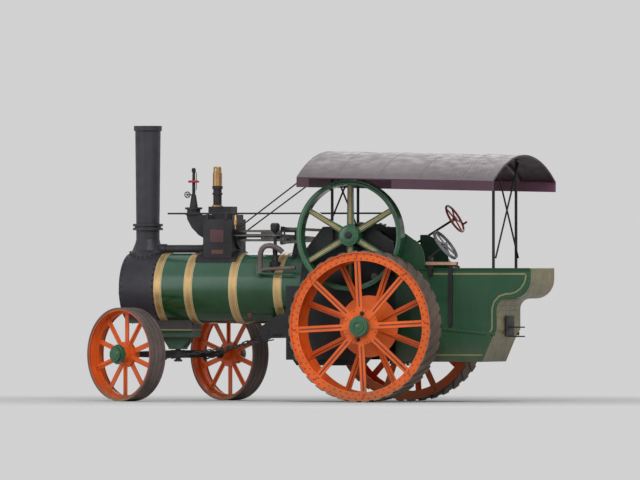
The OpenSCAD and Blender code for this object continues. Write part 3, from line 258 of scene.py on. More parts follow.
def tender_paint():
    """Green sides, and a painted reflection on the faces that look back: tan, mottled and streaked, for a
    straw-coloured field seen in the gloss.
    """
    mat, tree, bsdf = new_material("tender_paint")
    spots, run = dust_spots(tree), rain(tree)
    green = mix(tree, clouds(tree), (0.013, 0.057, 0.026), (0.018, 0.070, 0.033))
    green = mix(tree, ramp(tree, spots, 0.48, 0.78, 0.0, 0.25), green, (0.060, 0.070, 0.040))
    green = mix(tree, ramp(tree, run, 0.5, 0.75, 0.0, 0.2), green, (0.070, 0.078, 0.045))
    # Painted reflection: a mottled, streaked tan for the straw-coloured field seen in the gloss.
    tan = mix(tree, ramp(tree, spots, 0.35, 0.7), (0.17, 0.145, 0.062), (0.235, 0.195, 0.095))
    tan = mix(tree, ramp(tree, run, 0.5, 0.75, 0.0, 0.5), tan, (0.085, 0.090, 0.045))
    facing = split_of(tree, "ShaderNodeNewGeometry", "Normal")
    # Faces that look back show the painted reflection instead of the green.
    col = mix(tree, ramp(tree, facing["X"], -0.15, -0.5), green, tan)
    col = mix(tree, splash(tree, spots, 0.45, 0.85), col, (0.075, 0.080, 0.048))
    link(tree, col, bsdf.inputs["Base Color"])
    polish(tree, bsdf, 0.28, 0.46)
    bsdf.inputs["Specular IOR Level"].default_value = 0.35
    return mat


def roof_paint():
    """Painted canvas over boards, maroon side boards below the eaves and a maroon inside, with painted
    shade and light: the canvas darker towards the eaves, the inside darkened, and the boards' inner faces
    painted lighter.
    """
    mat, tree, bsdf = new_material("roof_and_boards")
    eaves_z, shade_top, edge = 2.7945, 3.00, 0.002
    cloud = ramp(tree, noise(tree, 1.6, 5), 0.3, 0.7)
    run = noise(tree, 10, 5, 0.65, (1, 0.15, 0.15))
    place = split_of(tree, "ShaderNodeTexCoord", "Object")
    facing = split_of(tree, "ShaderNodeNewGeometry", "Normal")

    # Height above the roof's slope, and whether a face looks in towards the roof's middle
    rise = math_node(tree, "MULTIPLY", place["X"], math.tan(math.radians(ROOF_SLOPE)))
    over = math_node(tree, "SUBTRACT", place["Z"], rise)
    across = math_node(tree, "MULTIPLY", facing["Y"], place["Y"])
    up = math_node(tree, "MULTIPLY", facing["Z"], math_node(tree, "SUBTRACT", place["Z"], 0.76))
    inward = ramp(tree, math_node(tree, "ADD", across, up), -0.02, -0.05)

    canvas = mix(tree, cloud, (0.140, 0.113, 0.123), (0.172, 0.141, 0.152))
    canvas = mix(tree, ramp(tree, run, 0.5, 0.8, 0.0, 0.22), canvas, (0.085, 0.066, 0.072))
    # Painted shade: the canvas darkens down towards the eaves, where the roof curves away from the light.
    canvas = mix(tree, ramp(tree, over, 2.80, shade_top, 0.55, 0.0), canvas, (0.062, 0.050, 0.056))
    # The inside is maroon, painted much darker as painted shade.
    canvas = mix(tree, inward, canvas, mix(tree, cloud, (0.020, 0.004, 0.008), (0.034, 0.008, 0.014)))
    board = mix(tree, cloud, (0.048, 0.016, 0.030), (0.062, 0.023, 0.040))
    board = mix(tree, ramp(tree, run, 0.55, 0.85, 0.0, 0.3), board, (0.10, 0.06, 0.065))
    # Painted light: the boards' inner faces take a lighter maroon than their outer faces, standing in for
    # light on faces that lie in shade.
    board = mix(tree, inward, board, (0.14, 0.050, 0.088))
    col = mix(tree, ramp(tree, over, eaves_z, eaves_z + edge), board, canvas)
    link(tree, col, bsdf.inputs["Base Color"])
    link(tree, ramp(tree, noise(tree, 8, 6), 0.3, 0.7, 0.38, 0.58), bsdf.inputs["Roughness"])
    emboss(tree, bsdf, noise(tree, 160, 3, 0.6), 0.15)
    return mat


DUST = (0.24, 0.19, 0.13)
GREASE = (0.012, 0.011, 0.010)

MATERIALS = {
    "lining": surface("cream_lining", (0.52, 0.44, 0.25), 0.15, (0.35, 0.5), bump=0.05),
    "lining_orange": surface("yellow_lining", (0.50, 0.24, 0.06), 0.15, (0.35, 0.5), bump=0.05),
    "lining_olive": surface("olive_lining", (0.20, 0.19, 0.085), 0.15, (0.35, 0.5), bump=0.05, streaks=0.3),
    "lining_red": surface("dark_red_lining", (0.17, 0.022, 0.014), 0.2, (0.35, 0.5), bump=0.05),
    "brass": surface("band_brass", (0.56, 0.36, 0.15), 0.14, (0.30, 0.46), metal=0.7, bump=0.06,
                     dirt=(0.24, 0.14, 0.07), dirt_amount=0.35, streaks=0.25),
    "black": surface("frame_black", (0.013, 0.0135, 0.015), 0.3, (0.40, 0.65), bump=0.2,
                     dirt=(0.040, 0.032, 0.026), dirt_amount=0.4, wear=(0.07, 0.05, 0.035),
                     wear_amount=0.4, spec=0.3),
    "smokebox": surface("smokebox_black", (0.028, 0.0255, 0.033), 0.2, (0.40, 0.60), bump=0.3, grain=120,
                        dirt=(0.060, 0.046, 0.042), dirt_amount=0.2, streaks=0.2, spec=0.35),
    "rivet_black": surface("rivet_black", (0.010, 0.009, 0.011), 0.2, (0.45, 0.6), bump=0.1, spec=0.25),
    "casting": surface("casting_black", (0.016, 0.016, 0.019), 0.35, (0.40, 0.65), bump=0.5, grain=45,
                       dirt=(0.042, 0.034, 0.030), dirt_amount=0.45, wear=(0.06, 0.055, 0.05), spec=0.3),
    "chain": surface("chain_black", (0.012, 0.012, 0.013), 0.3, (0.45, 0.7), bump=0.3,
                     dirt=(0.035, 0.026, 0.020), dirt_amount=0.5),
    "orange": surface("wheel_orange", (0.70, 0.112, 0.012), 0.12, (0.34, 0.5), coat=0.08, bump=0.12,
                      dirt=(0.30, 0.115, 0.05), dirt_amount=0.32, low=(0.0, 0.35), wear=(0.20, 0.07, 0.03),
                      wear_amount=0.35, spec=0.35),
    "orange_dark": surface("rivet_orange", (0.40, 0.052, 0.010), 0.15, (0.4, 0.55), bump=0.1, spec=0.3),
    "rubber": surface("strake_rubber", (0.155, 0.115, 0.092), 0.25, (0.7, 0.9), bump=0.6, grain=30,
                      dirt=DUST, dirt_amount=0.6, low=(0.0, 0.2), spec=0.25),
    "tread": surface("tread_rubber", (0.115, 0.085, 0.080), 0.25, (0.6, 0.8), bump=0.5, grain=40,
                     dirt=DUST, dirt_amount=0.45, low=(0.0, 0.15), spec=0.25),
    "green": surface("wheel_green", (0.021, 0.098, 0.043), 0.16, (0.2, 0.36), coat=0.3, bump=0.06,
                     dirt=(0.05, 0.06, 0.04), dirt_amount=0.3),
    "steel": surface("oiled_steel", (0.125, 0.12, 0.118), 0.3, (0.26, 0.46), metal=0.9, bump=0.12,
                     grain=150, dirt=(0.035, 0.028, 0.022), dirt_amount=0.85),
    "bright": surface("polished_steel", (0.50, 0.50, 0.50), 0.15, (0.18, 0.34), metal=1.0, bump=0.05,
                      grain=150, dirt=(0.12, 0.10, 0.08), dirt_amount=0.5),
    "gear": surface("greased_gear", (0.10, 0.098, 0.095), 0.3, (0.3, 0.6), metal=0.7, bump=0.3,
                    dirt=GREASE, dirt_amount=0.9),
    "plate": surface("floor_steel", (0.12, 0.11, 0.10), 0.3, (0.4, 0.6), metal=0.7, bump=0.3,
                     dirt=(0.07, 0.045, 0.03), dirt_amount=0.7),
    "red": surface("wheel_red", (0.46, 0.012, 0.022), 0.2, (0.25, 0.4), coat=0.3, bump=0.06,
                   dirt=(0.08, 0.01, 0.01), dirt_amount=0.35),
    "grey": surface("grey_steel", (0.165, 0.160, 0.175), 0.3, (0.35, 0.55), metal=0.3,
                    dirt=(0.06, 0.055, 0.05), dirt_amount=0.6),
    "valve": surface("valve_brass", (0.46, 0.27, 0.12), 0.25, (0.26, 0.44), metal=0.8, bump=0.06,
                     dirt=(0.12, 0.06, 0.03), dirt_amount=0.55),
    "lagged": surface("pipe_grey_brown", (0.125, 0.095, 0.088), 0.25, (0.45, 0.65), metal=0.2, bump=0.3,
                      grain=50, dirt=(0.05, 0.04, 0.035), dirt_amount=0.5),
    "rust": surface("rusty_plug", (0.16, 0.065, 0.03), 0.35, (0.6, 0.85), bump=0.4, grain=50,
                    dirt=(0.06, 0.03, 0.02), dirt_amount=0.6),
    "maroon": surface("trim_maroon", (0.13, 0.046, 0.082), 0.2, (0.3, 0.45), coat=0.15, bump=0.05),
    "panel_red": surface("panel_maroon", (0.060, 0.014, 0.019), 0.25, (0.35, 0.5), bump=0.1),
    "canvas_seam": surface("canvas_seam", (0.130, 0.105, 0.115), 0.15, (0.4, 0.6), bump=0.1),
    "wood": surface("ash_wood", (0.42, 0.25, 0.15), 0.3, (0.5, 0.7), bump=0.3, grain=25,
                    dirt=(0.12, 0.06, 0.04), dirt_amount=0.6),
    "brown_plate": surface("blank_plate", (0.12, 0.045, 0.028), 0.3, (0.4, 0.6), metal=0.3, bump=0.1),
    "perch": perch_paint(),
    "boiler": boiler_paint(),
    "tender": tender_paint(),
    "roof": roof_paint(),
}


# Building blocks of the pieces
def frame_of(axis):
    """A matrix that turns Z onto the axis."""
    return Vector(UP).rotation_difference(Vector(axis).normalized()).to_matrix().to_4x4()


def polar(r, degrees, z=0.0):
    """The point at a radius and an angle about Z."""
    turn = math.radians(degrees)
    return r * math.cos(turn), r * math.sin(turn), z


def on_circle(centre, axis, r, count, turn=0.0):
    """Points round a circle, with the outward way at each one."""
    matrix = frame_of(axis)
    for i in range(count):
        way = matrix @ Vector(polar(1, turn + 360 * i / count))
        yield Vector(centre) + way * r, way


def band(r0, r1, h0, h1):
    """The square section of a ring, between two radii and two heights."""
    return [(r0, h0), (r1, h0), (r1, h1), (r0, h1)]


def offset_line(points, off):
    """A line beside the points, to the left of their way."""
    out = []
    for i, p in enumerate(points):
        a = Vector(points[max(i - 1, 0)])
        b = Vector(points[min(i + 1, len(points) - 1)])
        way = (b - a).normalized()
        out.append((p[0] - way.y * off, p[1] + way.x * off))
    return out


class Piece:
    """Gathers simple forms into one mesh, drawn in the coordinates of its place."""

    # Turn between faces, in degrees, from which an edge is sharp and from which a bevel takes it
    sharp_from, bevel_from = 35, 50
    # How deep a rivet starts in what it sits on
    rivet_sunk = 0.002

    def __init__(self, place=CHASSIS):
        self.bm = bmesh.new()
        self.place = place

    def add(self, verts, faces, matrix=Matrix()):
        """Adds a form given by its points and faces."""
        made = [self.bm.verts.new(matrix @ Vector(v)) for v in verts]
        for face in faces:
            self.bm.faces.new([made[i] for i in face])

    def box(self, low, high, matrix=Matrix()):
        """A block between two corners."""
        x0, y0, z0 = low
        x1, y1, z1 = high
        verts = [(x, y, z) for z in (z0, z1) for y in (y0, y1) for x in (x0, x1)]
        faces = [(0, 2, 3, 1), (4, 5, 7, 6), (0, 1, 5, 4), (2, 6, 7, 3), (0, 4, 6, 2), (1, 3, 7, 5)]
        self.add(verts, faces, matrix)

    def turned(self, centre, axis, profile, sides=32):
        """A turned form: profile is (radius, distance along the axis), with its last point on the axis."""
        verts, rows = [], []
        for r, h in profile:
            if r == 0:
                rows.append([len(verts)])
                verts.append((0, 0, h))
            else:
                rows.append(list(range(len(verts), len(verts) + sides)))
                verts += [polar(r, 360 * i / sides, h) for i in range(sides)]
        faces = []
        for a, b in zip(rows, rows[1:]):
            for i in range(sides):
                j = (i + 1) % sides
                if len(a) == 1:
                    faces.append((a[0], b[i], b[j]))
                elif len(b) == 1:
                    faces.append((a[j], a[i], b[0]))
                else:
                    faces.append((a[j], a[i], b[i], b[j]))
        self.add(verts, faces, Matrix.Translation(centre) @ frame_of(axis))

    def hoop(self, centre, axis, profile, sides=64, start=0.0, sweep=360.0):
        """A ring or a part of one: profile is a closed loop of (radius, distance along the axis)."""
        whole = sweep == 360.0
        count = sides if whole else sides + 1
        n = len(profile)
        verts = [polar(r, start + sweep * i / sides, h) for i in range(count) for r, h in profile]
        faces = []
        for i in range(sides):
            j = (i + 1) % count
            for k in range(n):
                m = (k + 1) % n
                faces.append((i * n + k, i * n + m, j * n + m, j * n + k))
        if not whole:
            faces.append(tuple(range(n)))
            faces.append(tuple(reversed(range((count - 1) * n, count * n))))
        self.add(verts, faces, Matrix.Translation(centre) @ frame_of(axis))

    def tube(self, points, r, sides=12, closed=False):
        """A round bar along points."""
        pts = [Vector(p) for p in points]
        count = len(pts)
        verts, faces = [], []
        side = None
        for i, p in enumerate(pts):
            a = pts[(i - 1) % count] if closed or i else p
            b = pts[(i + 1) % count] if closed or i < count - 1 else p
            way = (b - a).normalized()
            if side is None:
                side = way.orthogonal().normalized()
            side = (side - way * side.dot(way)).normalized()
            up = way.cross(side)
            for k in range(sides):
                x, y, _ = polar(r, 360 * k / sides)
                verts.append(p + side * x + up * y)
        for i in range(count if closed else count - 1):
            j = (i + 1) % count
            for k in range(sides):
                m = (k + 1) % sides
                faces.append((i * sides + k, i * sides + m, j * sides + m, j * sides + k))
        if not closed:
            faces.append(tuple(reversed(range(sides))))
            faces.append(tuple(range((count - 1) * sides, count * sides)))
        self.add(verts, faces)

    def strip(self, points, width, y0, y1):
        """A flat strip that follows points in X and Z, between y0 and y1."""
        last = len(points) - 1
        verts, faces = [], []
        for (ax, az), (bx, bz) in zip(offset_line(points, width / 2), offset_line(points, -width / 2)):
            verts += [(ax, y0, az), (bx, y0, bz), (bx, y1, bz), (ax, y1, az)]
        for i in range(last):
            for k in range(4):
                m = (k + 1) % 4
                faces.append((4 * i + k, 4 * i + m, 4 * i + 4 + m, 4 * i + 4 + k))
        faces.append((3, 2, 1, 0))
        faces.append(tuple(4 * last + k for k in range(4)))
        self.add(verts, faces)

    def rivet(self, at, out, r):
        """A domed rivet head."""
        dome = [(0, -self.rivet_sunk), (r, -self.rivet_sunk), (r * 0.86, r * 0.34), (r * 0.5, r * 0.62),
                (0, r * 0.7)]
        self.turned(at, out, dome, 8)

    def done(self, name, mat, body, bevel=0.0):
        """Makes the object, which moves with its body."""
        bmesh.ops.transform(self.bm, matrix=self.place, verts=self.bm.verts)
        bmesh.ops.recalc_face_normals(self.bm, faces=self.bm.faces)
        mesh = bpy.data.meshes.new(name)
        self.bm.to_mesh(mesh)
        self.bm.free()
        obj = bpy.data.objects.new(name, mesh)
        bpy.context.scene.collection.objects.link(obj)
        mesh.materials.append(MATERIALS[mat])
        for poly in mesh.polygons:
            poly.use_smooth = True
        mesh.set_sharp_from_angle(angle=math.radians(self.sharp_from))
        if bevel:
            mod = obj.modifiers.new("edge", "BEVEL")
            mod.width = bevel
            mod.segments = 2
            mod.limit_method = "ANGLE"
            mod.angle_limit = math.radians(self.bevel_from)
        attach(obj, body)


# Finishes of the CAD nodes
FINISH = {
    "boiler": "boiler", "boiler_bands": "brass", "hornplates": "black", "ashpan": "black",
    "fire_hinge": "black", "smokebox": "smokebox", "smokebox_door": "smokebox", "chimney_base": "smokebox",
    "chimney": "smokebox", "perch_bracket": "perch", "front_axle": "black", "rear_axle": "steel",
    "final_gear": "gear", "cylinder_block": "casting", "exhaust_pipe": "smokebox", "safety_valve": "valve",
    "lubricator": "casting", "motion_bracket": "casting", "slide_bars": "steel", "crosshead": "steel",
    "valve_link": "steel", "crankshaft": "steel", "crank_pinion": "gear", "flywheel": "green",
    "connecting_rod": "steel", "eccentric_rod_forward": "steel", "eccentric_rod_reverse": "steel",
    "second_shaft": "gear", "gear_guard": "green", "governor": "casting", "regulator_rod": "casting",
    "side_sheets": "tender", "tender": "tender", "footplate": "plate", "hitch": "black",
    "canopy_roof": "roof", "canopy_posts": "black", "canopy_stays": "black", "chain_barrel": "casting",
    "steering_chains": "chain", "steering_column": "black", "steering_wheel": "red",
    "steering_bracket": "black", "brake_column": "black", "brake_wheel": "grey",
    # feed_pipe takes the boiler's green, as a painted shadow under the lagged pipe laid over it.
    "firehole_door": "casting", "feed_pipe": "boiler",
}
for side in ("left", "right"):
    FINISH["front_wheel_" + side] = FINISH["rear_wheel_" + side] = "orange"
    FINISH["front_tyre_" + side] = "tread"
    FINISH["rear_tyre_" + side] = "rubber"
    FINISH["front_hub_" + side] = FINISH["rear_hub_" + side] = "green"
for node, finish in FINISH.items():
    obj = frame["nodes"][node]
    for slot in obj.material_slots:
        slot.material = MATERIALS[finish]
    if not obj.material_slots:
        obj.data.materials.append(MATERIALS[finish])


# Wheels, drawn about their own axle with Z outward
def wheel_place(base, side, out):
    """The place of a wheel; the right one mirrors the left one, as in the part."""
    return base @ Matrix.Scale(side, 4, LEFT) @ Matrix.Translation((0, out, 0)) @ frame_of(LEFT)


def dress_rear_wheel(side, name):
    """Rivets, lining, dusty rim and hub details of a rear wheel."""
    place = wheel_place(Matrix.Translation(REAR_AXLE), side, REAR_OUT)
    body = "rear_wheel_" + name
    # Angle and face of each spoke: in turn they are riveted to the outer and the inner ring
    spokes = [(3 + 22.5 * i, 1 if i % 2 == 0 else -1) for i in range(16)]
    ring_z, spoke_z, spoke_t, paint_t = 0.178, 0.165, 0.013, 0.0006

    rivets = Piece(place)
    for r, first in ((0.895, 2), (0.842, 4.8)):
        for at, _ in on_circle((0, 0, ring_z), UP, r, 64, first):
            rivets.rivet(at, UP, 0.0115)
    for at, _ in on_circle((0, 0, 0.154), UP, 0.210, len(spokes), spokes[0][0]):
        rivets.rivet(at, UP, 0.012)
    for turn, face in spokes:
        for r in (0.852, 0.880):
            rivets.rivet(polar(r, turn, face * ring_z), (0, 0, face), 0.013)
    rivets.done(body + "_rivets", "orange_dark", body)

    lining = Piece(place)
    for turn, face in spokes:
        foot, top = (0.245, spoke_z + paint_t) if face > 0 else (0.40, spoke_t + paint_t - spoke_z)
        matrix = Matrix.Rotation(math.radians(turn), 4, "Z")
        lining.box((foot, -0.0095, top - 0.002), (0.805, 0.0095, top), matrix)
    lining.done(body + "_lining", "lining_red", body)

    dust = Piece(place)
    dust.hoop((0, 0, 0), UP, band(0.9225, 0.9248, -0.1955, 0.1955), 96)
    dust.done(body + "_rim_dust", "rubber", body)

    hub = Piece(place)
    hub.hoop((0, 0, 0.200), UP, [(0.116, 0), (0.128, 0), (0.128, 0.014), (0.116, 0.016)], 48)
    hub.turned((0, 0, 0.248), UP, [(0, 0), (0.030, 0), (0.030, 0.010), (0.022, 0.014), (0, 0.014)], 24)
    hub.done(body + "_hub_rings", "green", body)

    pins = Piece(place)
    pin = [(0, 0), (0.026, 0), (0.026, 0.030), (0.018, 0.036), (0.018, 0.052), (0, 0.052)]
    for turn in (80, 262):
        pins.turned(polar(0.165, turn, 0.150), UP, pin, 24)
    pins.done(body + "_pins", "black", body, 0.001)


def dress_front_wheel(side, name):
    """Rivets, rim beads, nave and cap of a front wheel."""
    place = wheel_place(STEERED, side, FRONT_OUT)
    body = "front_wheel_" + name

    rivets = Piece(place)
    for i in range(10):
        face = 1 if i % 2 == 0 else -1
        for r in (0.514, 0.536):
            rivets.rivet(polar(r, 18 + 36 * i, face * 0.022), (0, 0, face), 0.0095)
    for at, _ in on_circle((0, 0, 0.027), UP, 0.138, 10):
        rivets.rivet(at, UP, 0.010)
    for face in (1, -1):
        rivets.hoop((0, 0, face * 0.112), UP, band(0.543, 0.5515, -0.007, 0.007), 72)
    rivets.done(body + "_rivets", "orange_dark", body)

    nave = Piece(place)
    nave.hoop((0, 0, 0), UP, band(0.050, 0.0855, -0.1525, -0.020), 48)
    nave.done(body + "_nave", "orange", body)

    cap = Piece(place)
    cap.hoop((0, 0, 0.169), UP, [(0.095, 0), (0.112, 0), (0.112, 0.004), (0.095, 0.006)], 48)
    cap.turned((0, 0, 0.204), UP, [(0, 0), (0.062, 0), (0.058, 0.008), (0.030, 0.010), (0, 0.010)])
    cap.done(body + "_cap", "green", body)


for dress_wheel in (dress_rear_wheel, dress_front_wheel):
    dress_wheel(1, "left")
    dress_wheel(-1, "right")


def dress_flywheel():
    """Rim and hub mouldings, spoke lining and shaft end, drawn about the crankshaft with Z to the left."""
    place = Matrix.Translation(CRANK_AXLE) @ frame_of(LEFT)
    middle, hub_end, spoke_half, paint_t = 0.575, 0.650, 0.0235, 0.0012

    rim = Piece(place)
    moulding = [(0.676, 0.0745), (0.664, 0.0795), (0.646, 0.0795), (0.634, 0.0745)]
    for face in (1, -1):
        rim.hoop((0, 0, middle), UP, [(r, face * h) for r, h in moulding], 96)
    hub = [(0.050, -0.002), (0.118, -0.002), (0.112, 0.004), (0.096, 0.006), (0.090, 0.009), (0.050, 0.009)]
    rim.hoop((0, 0, hub_end), UP, hub)
    rim.done("flywheel_mouldings", "green", "crank")

    # Two outer lines and two finer inner ones on both faces of each spoke
    for name, mat, half, off in (("flywheel_lining", "lining_orange", 0.0036, 0.0145),
                                 ("flywheel_lining_inner", "lining", 0.0026, 0.0065)):
        line = Piece(place)
        for i in range(6):
            turn = Matrix.Rotation(math.radians(60 * i + 90), 4, "Z")
            for face in (1, -1):
                z = middle + face * spoke_half
                for across in (-off, off):
                    line.box((0.145, across - half, z - paint_t), (0.618, across + half, z + paint_t), turn)
        line.done(name, mat, "crank")

    nut = Piece(place)
    nut.turned((0, 0, 0.652), UP, [(0, 0), (0.040, 0), (0.040, 0.014), (0.034, 0.018), (0, 0.018)])
    nut.done("flywheel_shaft_end", "casting", "crank", 0.0015)


dress_flywheel()


# Boiler, smokebox and hornplates
def dress_bands():
    """Cream lines beside the boiler bands, and two beads round each band."""
    smokebox_back = 2.93
    lines = Piece()
    stripe = band(BOILER_R + 0.0001, BOILER_R + 0.0012, -0.004, 0.004)
    for front in BAND_FRONTS:
        for x in (front + 0.006, front - 0.098):
            # The first band has the smokebox before it, so it has a line behind it only
            if x <= smokebox_back:
                lines.hoop((x, 0, BOILER_Z), FORWARD, stripe, 96)
    lines.done("boiler_lining", "lining", "frame")
    beads = Piece()
    bead = [(BOILER_R + 0.004, -0.004), (BOILER_R + 0.0075, -0.002), (BOILER_R + 0.0075, 0.002),
            (BOILER_R + 0.004, 0.004)]
    for front in BAND_FRONTS:
        for x in (front - 0.014, front - 0.078):
            beads.hoop((x, 0, BOILER_Z), FORWARD, bead, 96)
    beads.done("band_beads", "lining", "frame")


def dress_smokebox():
    """Rivets round the smokebox, its front and the chimney's saddle, and the ring of its door."""
    front_x, door_x, chimney_x = 3.430, 3.4345, 3.205
    rivets = Piece()
    for x, r in ((2.986, 0.015), (3.404, 0.011)):
        for at, out in on_circle((x, 0, BOILER_Z), FORWARD, BOILER_R - 0.001, 36, 3):
            rivets.rivet(at, out, r)
    for at, out in on_circle((chimney_x, 0, 0), UP, 0.2275, 24, 4):
        saddle_z = BOILER_Z + math.sqrt(BOILER_R ** 2 - at.y ** 2) + 0.020
        rivets.rivet((at.x, at.y, saddle_z), out, 0.0115)
    for at, _ in on_circle((front_x, 0, BOILER_Z), FORWARD, 0.400, 28):
        rivets.rivet(at, FORWARD, 0.0115)
    rivets.done("smokebox_rivets", "rivet_black", "frame")

    door = Piece()
    section = [(0.318, 0), (0.334, 0), (0.334, 0.010), (0.326, 0.014), (0.318, 0.012)]
    door.hoop((door_x, 0, BOILER_Z), FORWARD, section, 72)
    for at, _ in on_circle((door_x + 0.0135, 0, BOILER_Z), FORWARD, 0.300, 12, 15):
        door.rivet(at, FORWARD, 0.010)
    door.done("door_ring", "bright", "smokebox_door")


def add_washout_plug():
    """A rusty plug with a square head, low on the boiler's left side."""
    centre = Vector((1.73, 0, BOILER_Z))
    out = Vector((0, 0.648, -0.761))
    flange = [(0, 0), (0.040, 0), (0.040, 0.008), (0.030, 0.010), (0.030, 0.018), (0, 0.018)]
    head = [(0, 0), (0.016, 0), (0.016, 0.022), (0, 0.022)]
    plug = Piece()
    plug.turned(centre + out * 0.438, out, flange, 24)
    plug.turned(centre + out * 0.454, out, head, 4)
    plug.done("washout_plug", "rust", "frame")


def dress_hornplates():
    """Two staggered rows of rivets up the front edge of each hornplate, and one row along its foot."""
    pitch, foot_pitch = 0.068, 0.053
    rivets = Piece()
    for side in (1, -1):
        y = side * HORNPLATE_OUT
        for i in range(13):
            rivets.rivet((1.160, y, 0.580 + pitch * i), (0, side, 0), 0.011)
            rivets.rivet((1.112, y, 0.580 + pitch * (i + 0.5)), (0, side, 0), 0.011)
        for i in range(16):
            rivets.rivet((0.30 + foot_pitch * i, y, 0.560), (0, side, 0), 0.010)
    rivets.done("hornplate_rivets", "black", "frame")


dress_bands()
dress_smokebox()
add_washout_plug()
dress_hornplates()


# Cylinder, valves and pipes
def dress_chest():
    """A maroon panel, a blank plate and a drip cup on the valve chest's left side."""
    chest_y = 0.278
    panel = Piece()
    panel.box((2.085, chest_y, 1.985), (2.265, chest_y + 0.006, 2.145))
    panel.done("chest_panel", "panel_red", "frame", 0.002)
    plate = Piece()
    plate.box((2.090, chest_y, 1.842), (2.245, chest_y + 0.005, 1.893))
    plate.done("blank_plate", "brown_plate", "frame", 0.001)
    glass = [(0, 0), (0.009, 0), (0.009, 0.050), (0.019, 0.058), (0.021, 0.120), (0.014, 0.130),
             (0.014, 0.168), (0.008, 0.180), (0, 0.180)]
    cup = Piece()
    cup.turned((1.930, 0.270, 2.150), UP, glass, 20)
    cup.done("drip_cup", "valve", "frame")


def dress_safety_valve():
    """Dark collars and sleeves round the safety valve."""
    valve_x, sleeve_r = 2.272, 0.0535
    collars = Piece()
    for r, low, high in ((0.0632, 2.583, 2.609), (0.0652, 2.655, 2.695)):
        collars.hoop((valve_x, 0, 0), UP, band(0.049, r, low, high), 40)
    for low, high in ((2.436, 2.582), (2.610, 2.654)):
        collars.hoop((valve_x, 0, 0), UP, band(0.047, sleeve_r, low, high), 40)
    collars.done("valve_collars", "casting", "frame")


def dress_lubricator():
    """The red ring, hand wheel, spindle and sight pipe of the lubricator."""
    column_x, spindle_z = 2.590, 2.584
    ring = Piece()
    section = [(0.042, -0.012), (0.066, -0.014), (0.074, 0), (0.066, 0.014), (0.042, 0.012)]
    ring.hoop((column_x, 0, 2.750), UP, section, 40)
    ring.done("lubricator_ring", "red", "frame")

    centre = Vector((2.655, 0.052, spindle_z))
    rim = [Vector((x, 0, z)) for x, z, _ in (polar(0.036, turn) for turn in range(0, 360, 20))]
    wheel = Piece()
    wheel.tube([centre + way for way in rim], 0.006, 8, True)
    for way in rim[:9:3]:
        wheel.tube([centre - way, centre + way], 0.004, 6)
    wheel.tube([(2.600, 0.010, spindle_z), (2.655, 0.020, spindle_z), (2.655, 0.058, spindle_z)], 0.008, 8)
    wheel.tube([(column_x, 0, 2.640), (2.548, 0.020, 2.650), (2.545, 0.022, 2.760), (2.548, 0.020, 2.862),
                (column_x, 0, 2.872)], 0.005, 8)
    wheel.done("lubricator_fittings", "casting", "frame")


def dress_governor():
    """The lagged pipes beside the governor, and its cap and collar."""
    pipe = Piece()
    pipe.tube([(1.530, 0.462, 1.600), (1.530, 0.462, 1.700), (1.530, 0.460, 1.800), (1.526, 0.456, 1.860),
               (1.508, 0.450, 1.905), (1.470, 0.440, 1.938), (1.420, 0.425, 1.946), (1.365, 0.402, 1.934),
               (1.310, 0.378, 1.900), (1.270, 0.360, 1.860)], 0.034, 16)
    # The sleeve over the feed pipe; below it the feed pipe shows in boiler green as a painted shadow.
    pipe.tube([(1.530, 0.462, 1.602), (1.520, 0.464, 1.640), (1.470, 0.466, 1.650), (1.060, 0.468, 1.668)],
              0.024, 14)
    pipe.done("governor_pipe", "lagged", "frame")

    governor_x, governor_y = 1.382, 0.324
    shell = [(0.036, 0), (0.048, 0.010), (0.052, 0.060), (0.050, 0.094), (0.040, 0.104), (0, 0.104)]
    collar = [(0.022, 0), (0.034, 0.004), (0.034, 0.014), (0.022, 0.018)]
    cap = Piece()
    cap.turned((governor_x, governor_y, 2.125), UP, shell, 28)
    cap.hoop((governor_x, governor_y, 2.060), UP, collar, 24)
    cap.done("governor_cap", "grey", "frame")


dress_chest()
dress_safety_valve()
dress_lubricator()
dress_governor()


# Tender. These points in X and Z follow its back edge, from the rim down to the foot
TENDER_BACK = [(-2.037, 1.640), (-2.034, 1.560), (-2.024, 1.500), (-2.000, 1.440), (-1.950, 1.370),
               (-1.880, 1.318), (-1.797, 1.287), (-1.720, 1.283), (-1.655, 1.262), (-1.610, 1.215),
               (-1.592, 1.155), (-1.590, 0.900), (-1.530, 0.800), (-1.400, 0.500)]


def tender_lining(side, name):
    """Olive lines along the back edge, below the rim and above the foot."""
    y0, y1 = sorted((side * (TENDER_HALF - 0.001), side * (TENDER_HALF + 0.0012)))
    edge = [(x, z) for x, z in offset_line(TENDER_BACK, 0.062) if 0.56 < z < 1.58]
    line = Piece()
    line.strip([(-1.974, 1.598)] + edge, 0.020, y0, y1)
    line.strip([(-1.980, 1.592), (-0.70, 1.592)], 0.020, y0, y1)
    line.strip([(-1.40, 0.585), (-0.60, 0.585)], 0.018, y0, y1)
    line.done("tender_lining_" + name, "lining_olive", "frame")


def tender_strap(side, name):
    """The slanting strap low on the side, and the round rim along its top."""
    y0, y1 = sorted((side * (TENDER_HALF - 0.001), side * (TENDER_HALF + 0.010)))
    rim_y = side * (TENDER_HALF + 0.004)
    strap = Piece()
    strap.strip([(-1.575, 0.845), (-0.75, 0.925)], 0.042, y0, y1)
    strap.tube([(-2.030, rim_y, 1.652), (-0.262, rim_y, 1.652)], 0.013)
    strap.done("tender_strap_" + name, "tender", "frame", 0.002)


